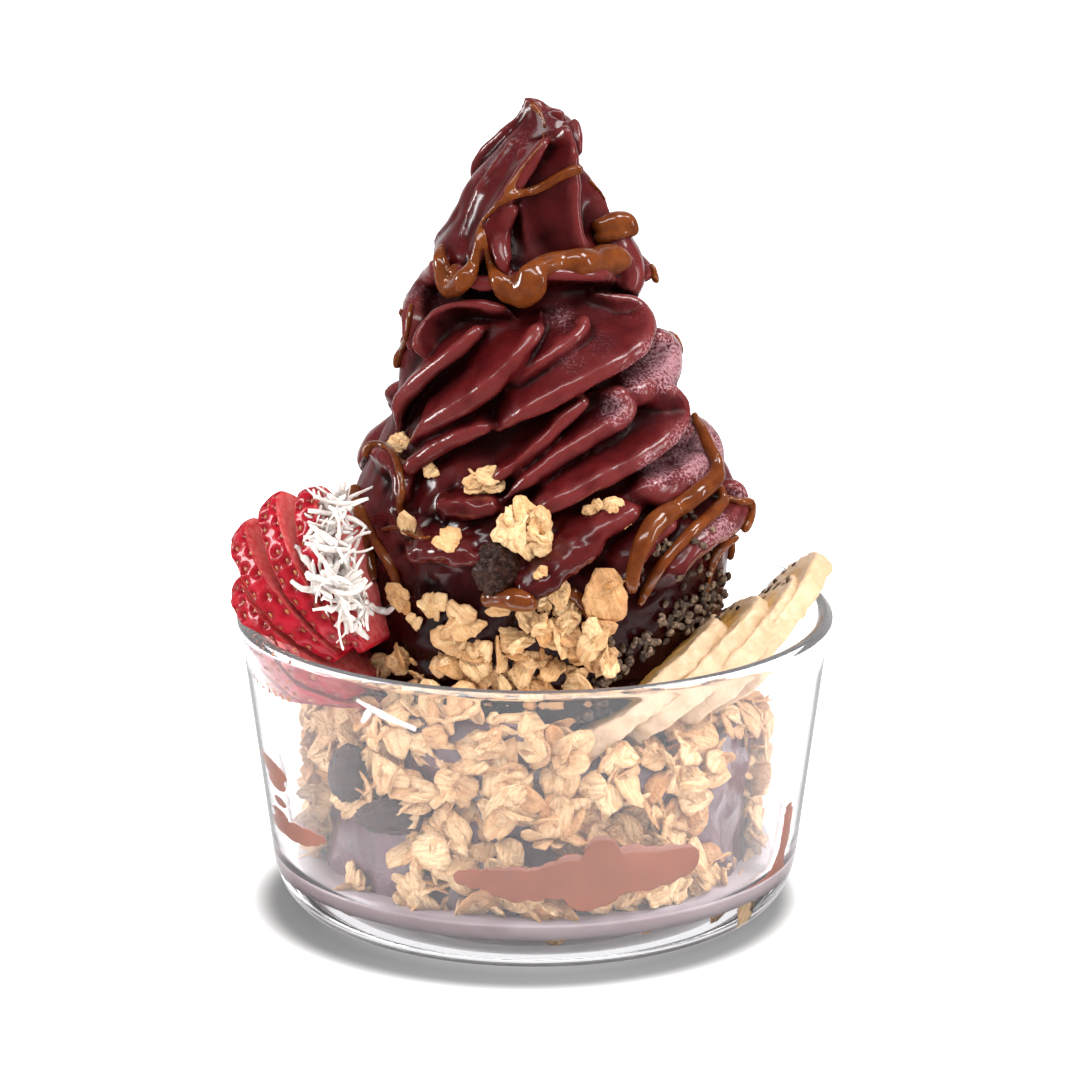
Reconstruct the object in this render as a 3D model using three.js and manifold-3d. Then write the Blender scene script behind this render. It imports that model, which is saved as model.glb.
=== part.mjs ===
// An acai bowl: a clear glass bowl of granola and acai soft serve, with fanned strawberry and banana,
// shredded coconut, chia seeds, raisins and a chocolate drizzle.
// Millimetres, +Z up. The origin is the middle of the bowl's foot, and -Y is the front of the bowl.
import * as THREE from "three";
import { mergeVertices } from "three/addons/utils/BufferGeometryUtils.js";
import Module from "manifold-3d";

const wasm = await Module();
wasm.setup();

// ---- driving dimensions ----
const rimRadius = 65;
const bowlHeight = 64.5;
const wallThickness = 3.8;
const baseThickness = 6.5;
const footRadius = 50;
const footRecess = 0.8;
const clearance = 0.3; // between pieces that rest on each other

const swirlTop = 176;
const swirlFoot = baseThickness + 0.5;
const contentsRadius = 42; // of the acai below the rim, inside the granola

// ---- shared helpers ----

const radians = (degrees) => (degrees * Math.PI) / 180;
const mix = (a, b, t) => a + (b - a) * t;
const clamp01 = (t) => Math.min(1, Math.max(0, t));
const smooth = (a, b, x) => {
  const t = clamp01((x - a) / (b - a));
  return t * t * (3 - 2 * t);
};

// Value of a curve given as [position, value] knots, eased between them.
function along(knots, x) {
  const last = knots.length - 1;
  if (x <= knots[0][0]) return knots[0][1];
  for (let i = 0; i < last; i++) {
    const [x0, v0] = knots[i];
    const [x1, v1] = knots[i + 1];
    if (x <= x1) {
      const slope = (k) => {
        const [a, b] = [knots[Math.max(0, k - 1)], knots[Math.min(last, k + 1)]];
        return (b[1] - a[1]) / (b[0] - a[0]);
      };
      const h = x1 - x0;
      const t = (x - x0) / h;
      return (
        v0 * (1 + 2 * t) * (1 - t) ** 2 +
        slope(i) * h * t * (1 - t) ** 2 +
        v1 * t * t * (3 - 2 * t) +
        slope(i + 1) * h * t * t * (t - 1)
      );
    }
  }
  return knots[last][1];
}

// A closed skin through rings of points, one ring after the other, with a fan over each end ring.
function loft(rings) {
  const side = rings[0].length;
  const points = rings.flat();
  const index = [];
  for (let r = 0; r < rings.length - 1; r++) {
    for (let i = 0; i < side; i++) {
      const a = r * side + i;
      const b = r * side + ((i + 1) % side);
      index.push(a, b, b + side, a, b + side, a + side);
    }
  }
  const middle = (ring) => ring.reduce((sum, p) => sum.add(p), new THREE.Vector3()).divideScalar(side);
  points.push(middle(rings[0]), middle(rings.at(-1)));
  const top = (rings.length - 1) * side;
  for (let i = 0; i < side; i++) {
    const next = (i + 1) % side;
    index.push(next, i, points.length - 2);
    index.push(top + i, top + next, points.length - 1);
  }
  return new THREE.BufferGeometry().setFromPoints(points).setIndex(index);
}

// A manifold-3d solid of a closed geometry, turned right side out.
function solid(geometry) {
  const bare = new THREE.BufferGeometry().setAttribute("position", geometry.getAttribute("position"));
  bare.setIndex(geometry.index);
  const merged = mergeVertices(bare, 1e-3);
  const triVerts = new Uint32Array(merged.index.array);
  const build = () =>
    new wasm.Manifold(
      new wasm.Mesh({ numProp: 3, vertProperties: merged.attributes.position.array, triVerts }),
    );
  const made = build();
  if (made.volume() > 0) return made;
  for (let i = 0; i < triVerts.length; i += 3) {
    [triVerts[i + 1], triVerts[i + 2]] = [triVerts[i + 2], triVerts[i + 1]];
  }
  return build();
}

function geometryOf(made) {
  const { numProp, vertProperties, triVerts } = made.getMesh();
  const positions = new Float32Array((vertProperties.length / numProp) * 3);
  for (let i = 0; i * numProp < vertProperties.length; i++) {
    positions.set(vertProperties.subarray(i * numProp, i * numProp + 3), i * 3);
  }
  return new THREE.BufferGeometry()
    .setAttribute("position", new THREE.BufferAttribute(positions, 3))
    .setIndex(new THREE.BufferAttribute(triVerts, 1));
}

const joined = (solids) => solids.reduce((all, one) => all.add(one));

const group = new THREE.Group();

function addNode(name, geometry, color, roughness = 0.6) {
  const material = new THREE.MeshStandardMaterial({ color, roughness, metalness: 0 });
  const mesh = new THREE.Mesh(geometry, material);
  mesh.name = name;
  group.add(mesh);
  return mesh;
}

// The one body of a solid: scraps that a cut leaves loose are dropped.
function largest(made) {
  return made.decompose().reduce((best, one) => (one.volume() > best.volume() ? one : best));
}

const V = (x, y, z) => new THREE.Vector3(x, y, z);

// Even random draws between 0 and 1 from a seed.
function draws(seed) {
  let state = seed * 7919 + 104729;
  return () => {
    state = (state * 1664525 + 1013904223) % 4294967296;
    return state / 4294967296;
  };
}

// ---- the glass bowl: pressed glass with a thick base, straight flared wall and a fire-polished rim ----

const heelRadius = footRadius + 7.4; // where the wall starts, outside
const heelHeight = 12;
const wallFoot = 14; // height where the inner wall starts
const rimInner = rimRadius - 4.6;
const rimDepth = 4; // of the polished edge, inside
const footRing = 7; // width of the ring that it stands on
const bowlSides = 24;
const curveSteps = 3;

function bowlProfile() {
  const outline = new THREE.Path();
  outline.moveTo(0, footRecess);
  outline.lineTo(footRadius - footRing - 2, footRecess);
  outline.lineTo(footRadius - footRing, 0);
  outline.lineTo(footRadius - 0.5, 0);
  outline.quadraticCurveTo(footRadius + 6.2, 1.2, heelRadius, heelHeight);
  outline.lineTo(rimRadius - 1.3, bowlHeight - 7);
  outline.quadraticCurveTo(rimRadius + 0.3, bowlHeight - 0.8, rimRadius - 1.9, bowlHeight);
  outline.quadraticCurveTo(rimRadius - 4.2, bowlHeight - 0.4, rimInner, bowlHeight - rimDepth);
  outline.lineTo(heelRadius - wallThickness, wallFoot);
  outline.quadraticCurveTo(footRadius + 2.6, baseThickness, footRadius - 6, baseThickness);
  outline.lineTo(0, baseThickness);
  return outline.getPoints(curveSteps);
}
const turned = (points, sides) => new THREE.LatheGeometry(points, sides).rotateX(Math.PI / 2);
addNode("bowl", turned(bowlProfile(), bowlSides), 0xdfe8ea, 0.05).material.setValues({
  transparent: true,
  opacity: 0.35,
});

// All the room that the glass takes, with the clearance: what fills the bowl is cut back to it.
const glassRoom = solid(
  turned(
    [
      [0, -1],
      [rimRadius + 20, -1],
      [rimRadius + 20, bowlHeight + clearance],
      [rimInner - clearance, bowlHeight + clearance],
      [rimInner - clearance, bowlHeight - rimDepth],
      [heelRadius - wallThickness - clearance, wallFoot],
      [footRadius + 0.4, baseThickness + 2.2],
      [footRadius - 6, baseThickness + clearance],
      [0, baseThickness + clearance],
    ].map(([r, z]) => new THREE.Vector2(r, z)),
    bowlSides,
  ),
);

// ---- acai soft serve: a twisted star-section rope coiled up to a drawn-off peak ----

// Outer radius of the whole swirl by height.
const swirlRadius = [
  [7, 43],
  [50, 44],
  [64, 45.5],
  [80, 48],
  [90, 46],
  [100, 41],
  [110, 36],
  [120, 33],
  [128, 30],
  [136, 25],
];
const rope = {
  points: 4, // of the nozzle's star
  pitch: 22.8, // rise of one turn of the coil
  start: 48, // height of the coil's first turn
  turns: 3.95,
  heading: radians(110), // where the coil starts, seen from above
  half: 17, // half of the rope's thickness
  flat: 0.95, // its height against its thickness
  slope: 0.95, // of the ridges on the coil's face
  phase: radians(20),
  depth: 0.4, // of the flutes, as a share of half
  sharp: 2.2, // how narrow the ridges are
  lean: 0.4, // how far the ridges curl over, in radians
  thinner: 0.28, // at its end, as a share of half
  thinnerFrom: 2.2, // turns
  perTurn: 40, // rings
  sides: 24,
};

// Star section: 1 on a ridge, down to 0 in a flute.
const ridge = (angle, points, sharp) => Math.abs(Math.cos((angle * points) / 2)) ** sharp;

function ropeRings() {
  const rings = [];
  let twist = rope.phase;
  const steps = Math.round(rope.turns * rope.perTurn);
  for (let i = 0; i <= steps; i++) {
    const t = i / rope.perTurn;
    const z = rope.start + rope.pitch * t;
    const fade = 1 - rope.thinner * smooth(rope.thinnerFrom, rope.turns, t);
    const half = rope.half * fade;
    const reach = along(swirlRadius, z);
    const radius = Math.max(1, reach - half);
    const turn = rope.heading + 2 * Math.PI * t;
    const ring = [];
    for (let k = 0; k < rope.sides; k++) {
      const a = (2 * Math.PI * k) / rope.sides;
      const high = ridge(a, rope.points, rope.sharp);
      const length = half * (1 - rope.depth * (1 - high));
      const b = a + twist - rope.lean * high;
      const outward = radius + length * Math.cos(b);
      ring.push(
        new THREE.Vector3(
          outward * Math.cos(turn),
          outward * Math.sin(turn),
          z + length * rope.flat * Math.sin(b),
        ),
      );
    }
    rings.push(ring);
    twist += ((2 * Math.PI) / rope.perTurn) * rope.slope * (reach / rope.half);
  }
  return rings;
}

// The coil's turns sink into each other, so it is joined from stretches of less than a turn.
function coil() {
  const rings = ropeRings();
  const stretch = Math.round(rope.perTurn * 0.75);
  const parts = [];
  for (let i = 0; i + 1 < rings.length; i += stretch) {
    parts.push(solid(loft(rings.slice(i, i + stretch + 1))));
  }
  return joined(parts);
}

// The peak: a star cone that the nozzle drew up and off to one side.
const peak = {
  points: 6,
  base: 130,
  radius: [
    [130, 14],
    [135, 21.5],
    [142, 23.5],
    [148.6, 20.5],
    [155, 16.3],
    [162, 12.2],
    [166, 10.3],
    [171, 8],
    [176, 2.5],
  ],
  leanX: [
    [130, 0.5],
    [148, 0.8],
    [155, -1.6],
    [162, -2],
    [171, 0.8],
    [176, -1.8],
  ],
  depth: 0.45, // of its flutes, as a share of its radius
  sharp: 2, // how narrow its ridges are
  phase: radians(-64),
  twist: radians(115), // from its foot to its tip
  lean: 0.25, // how far its ridges curl over, in radians
  rows: 20,
  sides: 48,
};

const peakHeight = swirlTop - peak.base;

function peakSolid() {
  const rings = [];
  for (let i = 0; i <= peak.rows; i++) {
    const share = i / peak.rows;
    const z = mix(peak.base, swirlTop, share);
    const middle = along(peak.leanX, z);
    const ring = [];
    for (let k = 0; k < peak.sides; k++) {
      const a = (2 * Math.PI * k) / peak.sides;
      const high = ridge(a, peak.points, peak.sharp);
      const r = along(peak.radius, z) * (1 - peak.depth * (1 - high));
      const b = a + peak.phase + peak.twist * share + peak.lean * high;
      ring.push(new THREE.Vector3(middle + r * Math.cos(b), r * Math.sin(b), z));
    }
    rings.push(ring);
  }
  return solid(loft(rings));
}

// The solid middle under the coil.
const core = {
  heights: [50, 80, 100, 120, 132],
  inset: 11, // from the swirl's outside
  sides: 24,
};

function coreSolid() {
  const rings = core.heights.map((z) =>
    Array.from({ length: core.sides }, (_, k) => {
      const a = (2 * Math.PI * k) / core.sides;
      const r = along(swirlRadius, z) - core.inset;
      return V(r * Math.cos(a), r * Math.sin(a), z);
    }),
  );
  return solid(loft(rings));
}

// The room left for the swirl: under the rim it stays inside the granola's ring.
const swirlRoomRadius = [
  [swirlFoot, contentsRadius],
  [54, contentsRadius],
  [62, contentsRadius + 3.5],
  [76, contentsRadius + 5.5],
  [95, rimRadius],
];
const swirlRoom = (spare) =>
  solid(
    turned(
      [
        [0, swirlFoot - 4],
        [contentsRadius + spare, swirlFoot - 4],
        ...swirlRoomRadius.slice(1).map(([z, r]) => [r + spare, z]),
        [rimRadius + spare, 200],
        [0, 200],
      ].map(([r, z]) => new THREE.Vector2(r, z)),
      bowlSides,
    ),
  );

// The skin of coil and peak together: rays from outside find it on a grid whose columns lean
// with the ridges, so that each ridge keeps its edge.
const skin = {
  columns: 42,
  foot: 56, // height of its first row on the coil
  step: 4.1, // up to the next row
  follow: 0.95, // how far the columns lean with the ridges
  least: 0.8, // radius at the tip
};
const caster = new THREE.Raycaster();

function swirlSolid() {
  const shapes = joined([coreSolid(), coil(), peakSolid()]);
  const target = new THREE.Mesh(geometryOf(shapes), new THREE.MeshBasicMaterial());
  const ringAt = (z, lean, radius) => {
    const middle = z < peak.base ? 0 : along(peak.leanX, z);
    return Array.from({ length: skin.columns }, (_, k) => {
      const a = lean + (2 * Math.PI * k) / skin.columns;
      const r = radius ?? skinRadius(target, middle, a, z);
      return V(middle + r * Math.cos(a), r * Math.sin(a), z);
    });
  };
  const rings = [ringAt(swirlFoot, 0, contentsRadius), ringAt(skin.foot - 4, 0, contentsRadius)];
  let lean = 0;
  for (let z = skin.foot; z < swirlTop - 1; z += skin.step) {
    rings.push(ringAt(z, lean));
    const onCoil = z < peak.base + skin.step;
    const ahead = (skin.follow * skin.step) / along(swirlRadius, z);
    lean += onCoil ? ahead : (skin.step * peak.twist) / peakHeight;
  }
  rings.push(ringAt(swirlTop - 0.7, lean));
  return solid(loft(rings));
}

function skinRadius(target, middle, angle, z) {
  const far = 120;
  const ahead = V(-Math.cos(angle), -Math.sin(angle), 0);
  caster.set(V(middle - far * ahead.x, -far * ahead.y, z), ahead);
  const [hit] = caster.intersectObject(target);
  return hit ? Math.max(skin.least, far - hit.distance) : skin.least;
}

const swirl = swirlSolid();

// ---- what lies on the swirl is placed on its front, by its x and its height ----

const swirlSkin = new THREE.Mesh(geometryOf(swirl), new THREE.MeshBasicMaterial());

// Point of the swirl's front at x and z; past its edge, the nearest one at that height.
function onSwirl(x, z) {
  for (let inward = 0; inward < Math.abs(x); inward += 0.5) {
    caster.set(V(x - Math.sign(x) * inward, -150, z), V(0, 1, 0));
    const [hit] = caster.intersectObject(swirlSkin);
    if (hit) return hit;
  }
  throw new Error("nothing at " + x + ", " + z);
}

// ---- the drizzle: ropes of chocolate hazelnut spread that run down over the ridges ----

// Each strand: its thickness and the x and height of the points that it passes.
const strands = [
  {
    radius: 2.8,
    through: [[-18.5, 143], [-20, 138], [-17, 134.5], [-13, 135], [-11.5, 140], [-10.5, 148]],
  },
  {
    radius: 3.4,
    through: [[-10, 146], [-9, 140], [-5, 136], [-1, 136.5], [3, 141], [10, 143], [15, 143], [19.5, 142]],
  },
  { radius: 2.3, through: [[9, 151], [14, 151], [18.5, 150], [22, 147.5]] },
  { radius: 1.3, through: [[10, 159.5], [4, 159.5], [-2, 156.5], [-7.5, 154], [-10, 149]] },
  {
    radius: 1.7,
    through: [[-38, 97], [-33, 104.5], [-27.5, 104.5], [-26.5, 99.5], [-27.5, 93], [-29, 88]],
  },
  { radius: 2.6, through: [[-38, 94], [-37, 89], [-35.4, 83], [-33.4, 77], [-31, 70]] },
  {
    radius: 2.4,
    through: [[40, 97], [34.6, 94.5], [28.2, 91], [23.6, 87], [21, 82], [19.7, 77], [21.8, 73]],
  },
  { radius: 1.7, through: [[39, 90.5], [43.5, 88.5], [45.5, 83], [45.5, 77], [45, 72]] },
];

const strandSides = 4;
const strandStep = 6;
const strandSink = 0.25; // of its middle out of what it lies on, as a share of its radius

function strand({ radius, through }) {
  const hits = through.map(([x, z]) => onSwirl(x, z).point);
  const path = hits.map((hit, i) => {
    const around = hits.slice(Math.max(0, i - 1), i + 2);
    const depth = around.reduce((sum, near) => sum + near.y, 0) / around.length;
    return V(hit.x, Math.min(hit.y, depth) - radius * strandSink, hit.z);
  });
  const curve = new THREE.CatmullRomCurve3(path);
  const steps = Math.max(4, Math.round(curve.getLength() / strandStep));
  const rings = [];
  for (let i = 0; i <= steps; i++) {
    const t = i / steps;
    const middle = curve.getPoint(t);
    const ahead = curve.getTangent(t);
    const side = new THREE.Vector3().crossVectors(ahead, V(0, -1, 0)).normalize();
    const out = new THREE.Vector3().crossVectors(side, ahead).normalize();
    const rounded = Math.sqrt(Math.sin(Math.PI * mix(0.12, 0.88, t)));
    const uneven = 1 + 0.12 * Math.sin(9 * t + radius);
    const reach = radius * rounded * uneven;
    rings.push(
      Array.from({ length: strandSides }, (_, k) => {
        const a = (2 * Math.PI * k) / strandSides;
        return middle
          .clone()
          .addScaledVector(side, reach * Math.cos(a))
          .addScaledVector(out, reach * Math.sin(a));
      }),
    );
  }
  return solid(loft(rings));
}

// ---- shapes of the toppings ----

// An uneven oval flake, pinched to its edge.
const flakeSides = 6;
const flakeRagged = [0.8, 1.1]; // how far its edge reaches, as a share of its size
const flakeWave = 0.6; // of its edge, as a share of its thickness

function flake(at, normal, spin, [length, width, thick], random) {
  const turn = new THREE.Quaternion()
    .setFromUnitVectors(V(0, 0, 1), normal)
    .multiply(new THREE.Quaternion().setFromAxisAngle(V(0, 0, 1), spin));
  const place = (x, y, z) => V(x, y, z).applyQuaternion(turn).add(at);
  const points = [place(0, 0, thick / 2), place(0, 0, -thick / 2)];
  for (let k = 0; k < flakeSides; k++) {
    const a = (2 * Math.PI * k) / flakeSides;
    const r = mix(...flakeRagged, random());
    const rise = thick * flakeWave * (random() - 0.5);
    points.push(place((length / 2) * r * Math.cos(a), (width / 2) * r * Math.sin(a), rise));
  }
  const index = [];
  for (let k = 0; k < flakeSides; k++) {
    const [a, b] = [2 + k, 2 + ((k + 1) % flakeSides)];
    index.push(0, a, b, 1, b, a);
  }
  return solid(new THREE.BufferGeometry().setFromPoints(points).setIndex(index));
}

// A lumpy pebble: an ellipsoid with half axes reach, its lumps as a share of them.
function pebble(at, reach, lumps, random, grow = 0, [rows, sides] = [6, 9]) {
  const rings = [];
  for (let i = 1; i < rows; i++) {
    const polar = (Math.PI * i) / rows;
    rings.push(
      Array.from({ length: sides }, (_, k) => {
        const a = (2 * Math.PI * k) / sides;
        const r = 1 + lumps * (random() * 2 - 1);
        return V(
          at.x + (reach.x * r + grow) * Math.sin(polar) * Math.cos(a),
          at.y + (reach.y * r + grow) * Math.sin(polar) * Math.sin(a),
          at.z - (reach.z * r + grow) * Math.cos(polar),
        );
      }),
    );
  }
  return solid(loft(rings));
}

// A slab: an outline of [along, across] points, bevelled at both faces. frame says where it lies.
// Each level is a share of half the thickness, and how far the slab reaches there.
const slabLevels = [
  [-1, 0.88],
  [-0.55, 1],
  [0.55, 1],
  [1, 0.88],
];

function slab(outline, frame, thickness, grow = 0) {
  const { at, lengthwise, across, up } = frame;
  const middle = outline.reduce((sum, [s]) => sum + s, 0) / outline.length;
  return solid(
    loft(
      slabLevels.map(([level, share]) =>
        outline.map(([s, w]) => {
          const far = Math.hypot(s - middle, w);
          const wide = share + grow / far;
          const rise = level * (thickness(s) / 2 + grow);
          return at
            .clone()
            .addScaledVector(lengthwise, middle + (s - middle) * wide)
            .addScaledVector(across, w * wide)
            .addScaledVector(up, rise);
        }),
      ),
    ),
  );
}

// ---- strawberry: one berry cut lengthwise and fanned over the rim on the left ----

const fan = {
  root: V(-27, -33, 50), // where the slices meet, sunk in the acai
  left: V(-0.9, 0.43, 0).normalize(), // the way the fan opens
  reach: [52, 54, 53.5, 47, 43, 40], // of each tip from the root, upper slice first
  tilt: [64, 54, 43, 31, 18, 5], // of each slice, degrees over level
  share: [0.82, 0.93, 1, 1, 0.95, 0.85], // of the berry's width
  spread: radians(10), // least angle from one slice to the next
  thick: 5.4,
  thin: 1, // where the slices meet
  length: 36,
  halfWidth: 13.5,
  tip: 1.2, // half width at the tip
  outlineSteps: 7,
};

// Half the berry's width at a share of its length, from 0 at the calyx to 1 at the tip.
function berryWidth(t) {
  const round = Math.sqrt(Math.sin(Math.PI * (0.1 + 0.9 * t ** 1.15)));
  return fan.halfWidth * round * (1 - 0.25 * t);
}

function berryOutline(reach, share) {
  const points = [];
  for (let i = 0; i <= fan.outlineSteps; i++) {
    const t = i / fan.outlineSteps;
    const width = i === fan.outlineSteps ? fan.tip : share * berryWidth(t);
    points.push([reach - fan.length * (1 - t), width]);
  }
  const back = points.map(([s, w]) => [s, -w]).reverse();
  return [...points, ...back];
}

function berrySlice(k, grow = 0) {
  const tilt = radians(fan.tilt[k]);
  const level = fan.left.clone().multiplyScalar(Math.cos(tilt));
  const lengthwise = level.addScaledVector(V(0, 0, 1), Math.sin(tilt));
  const across = new THREE.Vector3().crossVectors(fan.left, V(0, 0, 1)).normalize();
  const up = new THREE.Vector3().crossVectors(across, lengthwise).normalize();
  if (up.z < 0) up.negate();
  const room = (s) => s * Math.sin(fan.spread) - clearance;
  const thickness = (s) => Math.min(fan.thick, Math.max(fan.thin, room(s)));
  const outline = berryOutline(fan.reach[k], fan.share[k]);
  return slab(outline, { at: fan.root, lengthwise, across, up }, thickness, grow);
}

// ---- banana: peeled slices cut on the slant, leaning one on the next along the rim on the right ----

const banana = {
  half: [22.5, 14], // of the oval, lengthwise and across
  square: 2.7, // how full the oval's corners are
  thick: 4.8,
  sides: 16,
  uneven: 0.02, // of its outline
  // Middle of each slice's near edge.
  edges: [V(27.5, -38.5, 58.5), V(37.5, -33.5, 61), V(46.5, -27.5, 63.5), V(53.5, -20, 67)],
  lengthwise: V(0.7, 0.52, 0.49).normalize(),
  up: V(-0.6, 0.05, 0.8).normalize(),
  turn: [0, 4, 9, 18], // of each slice in its own plane, degrees
  stand: [0, 2, 5, 9], // of each slice, steeper than the first, degrees
};

// Radius of an oval of half axes 1 with full corners.
function fullOval(a, square) {
  const sum = Math.abs(Math.cos(a)) ** square + Math.abs(Math.sin(a)) ** square;
  return sum ** (-1 / square);
}

function bananaSlice(k, grow = 0) {
  const rocked = (v) => v.clone().applyAxisAngle(V(0, 1, 0), radians(-banana.stand[k]));
  const up = rocked(banana.up);
  const flatAcross = new THREE.Vector3().crossVectors(rocked(banana.lengthwise), up).normalize();
  const lengthwise = rocked(banana.lengthwise).applyAxisAngle(up, radians(banana.turn[k]));
  const across = new THREE.Vector3().crossVectors(lengthwise, up).normalize();
  const at = banana.edges[k].clone().addScaledVector(flatAcross, -banana.half[1]);
  const outline = Array.from({ length: banana.sides }, (_, i) => {
    const a = (2 * Math.PI * i) / banana.sides;
    const r = fullOval(a, banana.square) * (1 + banana.uneven * Math.sin(3 * a + k));
    return [banana.half[0] * r * Math.cos(a), banana.half[1] * r * Math.sin(a)];
  });
  return slab(outline, { at, lengthwise, across, up }, () => banana.thick, grow);
}

// A chia seed: a small pointed lozenge.
const chiaSize = [2.2, 1.5, 1.5];

function seed(at, normal, spin, random) {
  const turn = new THREE.Quaternion()
    .setFromUnitVectors(V(0, 0, 1), normal)
    .multiply(new THREE.Quaternion().setFromAxisAngle(V(0, 0, 1), spin));
  const [l, w, h] = chiaSize.map((size) => (size / 2) * mix(0.9, 1.15, random()));
  const corners = [V(l, 0, 0), V(0, w, 0), V(-l, 0, 0), V(0, -w, 0), V(0, 0, h), V(0, 0, -h)];
  const points = corners.map((corner) => corner.applyQuaternion(turn).add(at));
  const index = [];
  for (let k = 0; k < 4; k++) index.push(4, k, (k + 1) % 4, 5, (k + 1) % 4, k);
  return solid(new THREE.BufferGeometry().setFromPoints(points).setIndex(index));
}

// ---- raisins and granola clusters that lie in the swirl's front, pressed in ----

const raisins = [
  { at: V(-7.8, -41.5, 84.3), reach: V(5.2, 4.2, 6.2) },
  { at: V(-30, -42.5, 33), reach: V(8.5, 4.5, 5.2) },
  { at: V(-38.5, -34.5, 38), reach: V(5, 4, 5.5) },
];
const raisinLumps = 0.12;
const raisinFaces = [7, 10]; // rows and sides

function raisin(k, grow = 0) {
  const { at, reach } = raisins[k];
  return pebble(at, reach, raisinLumps, draws(31 + k), grow, raisinFaces);
}

const clusters = [
  { at: V(-2, -42, 92.8), reach: V(6.6, 3.6, 6) },
  { at: V(14.5, -37, 94.3), reach: V(6.2, 3.4, 3.6) },
  { at: V(14.6, -42.2, 79), reach: V(5.4, 2.3, 4.6) },
  { at: V(-10.5, -34, 100.8), reach: V(4.2, 2.6, 3.2) },
];

// What a cluster is made of, as shares of its reach.
const clusterShape = {
  room: { size: 1.4, lumps: 0.02, faces: [5, 8] },
  middle: { size: 0.85, lumps: 0.22, faces: [4, 6] },
  flakes: 2,
  flakeSize: [1.45, 1.3],
  flakeThick: 2.2,
  flakeOut: [0.36, -0.45, 0.36],
  flakeTip: 0.5,
};

// All the room that a cluster takes.
function clusterRoom({ at, reach }, k, grow = 0) {
  const { size, lumps, faces } = clusterShape.room;
  return pebble(at, reach.clone().multiplyScalar(size), lumps, draws(71 + k), grow, faces);
}

// A lumpy middle with a few flakes baked onto its outside, within the cluster's room.
function cluster(place, k) {
  const { at, reach } = place;
  const { middle, flakes, flakeSize, flakeThick, flakeOut, flakeTip } = clusterShape;
  const random = draws(57 + k);
  const inner = reach.clone().multiplyScalar(middle.size);
  const parts = [pebble(at, inner, middle.lumps, random, 0, middle.faces)];
  for (let i = 0; i < flakes; i++) {
    const a = (2 * Math.PI * (i + 0.5 * random())) / flakes;
    const off = V(flakeOut[0] * Math.cos(a), flakeOut[1], flakeOut[2] * Math.sin(a)).multiply(reach);
    const normal = V(flakeTip * Math.cos(a), -1, flakeTip * Math.sin(a)).normalize();
    const size = [reach.x * flakeSize[0], reach.z * flakeSize[1], flakeThick];
    parts.push(flake(off.add(at), normal, a, size, random));
  }
  return joined(parts).intersect(clusterRoom(place, k));
}

// ---- coconut: a tuft of shreds over the inner ends of the strawberry slices ----

const tuft = {
  through: [V(-41, -24, 98), V(-42, -30, 90), V(-41.5, -34, 81), V(-37.5, -38.5, 73)],
  radius: [4, 7, 7.5, 4.5],
  spread: 4, // of the shreds out of the tuft, to the front and the left
  spreadWay: radians(110), // its direction from the front left
  inset: 1.6, // of the packed middle under the shreds
  steps: 5,
  cap: 1.5, // of each end over the last step
  capShare: 0.55, // of the radius there
  lumps: 0.12,
  middleSides: 7,
  roomSides: 10,
  shreds: 10,
  width: 2.2,
  thin: 0.5, // half a shred's thickness
};

function shred(from, to, bow, width) {
  const ahead = to.clone().sub(from);
  const side = V(-ahead.z, 0, ahead.x).normalize();
  const out = new THREE.Vector3().crossVectors(ahead, side).normalize();
  const steps = 3;
  const rings = [];
  for (let i = 0; i <= steps; i++) {
    const t = i / steps;
    const middle = from.clone().lerp(to, t).addScaledVector(side, bow * Math.sin(Math.PI * t));
    const half = (width / 2) * (0.75 + 0.25 * Math.sin(Math.PI * t));
    const corners = [
      [half, tuft.thin],
      [-half, tuft.thin],
      [-half, -tuft.thin],
      [half, -tuft.thin],
    ];
    rings.push(
      corners.map(([w, h]) => middle.clone().addScaledVector(side, w).addScaledVector(out, h)),
    );
  }
  return solid(loft(rings));
}

const tuftSeed = 83;
const tuftSpine = new THREE.CatmullRomCurve3(tuft.through);
const tuftRadius = tuft.radius.map((r, i) => [i / (tuft.radius.length - 1), r]);

// A lumpy sausage along the tuft, wider by grow and stretched to the front left by spread.
function tuftBody(grow, spread, sides) {
  const random = draws(tuftSeed);
  const rings = [];
  for (let i = -1; i <= tuft.steps + 1; i++) {
    const t = clamp01(i / tuft.steps);
    const end = i < 0 || i > tuft.steps;
    const over = end ? Math.sign(i) * (tuft.cap + grow) : 0;
    const middle = tuftSpine.getPoint(t).addScaledVector(tuftSpine.getTangent(t), over);
    const r = along(tuftRadius, t) * (end ? tuft.capShare : 1) + grow;
    rings.push(
      Array.from({ length: sides }, (_, k) => {
        const a = (2 * Math.PI * k) / sides;
        const lump = 1 + tuft.lumps * (random() - 0.5);
        const front = spread * Math.max(0, Math.cos(a + tuft.spreadWay));
        return V(
          middle.x + (r * lump + front) * Math.cos(a),
          middle.y + (0.85 * r * lump + front) * Math.sin(a),
          middle.z + 0.25 * r * Math.cos(a),
        );
      }),
    );
  }
  return solid(loft(rings));
}

const tuftRoom = (grow) => tuftBody(grow, tuft.spread, tuft.roomSides);

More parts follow.
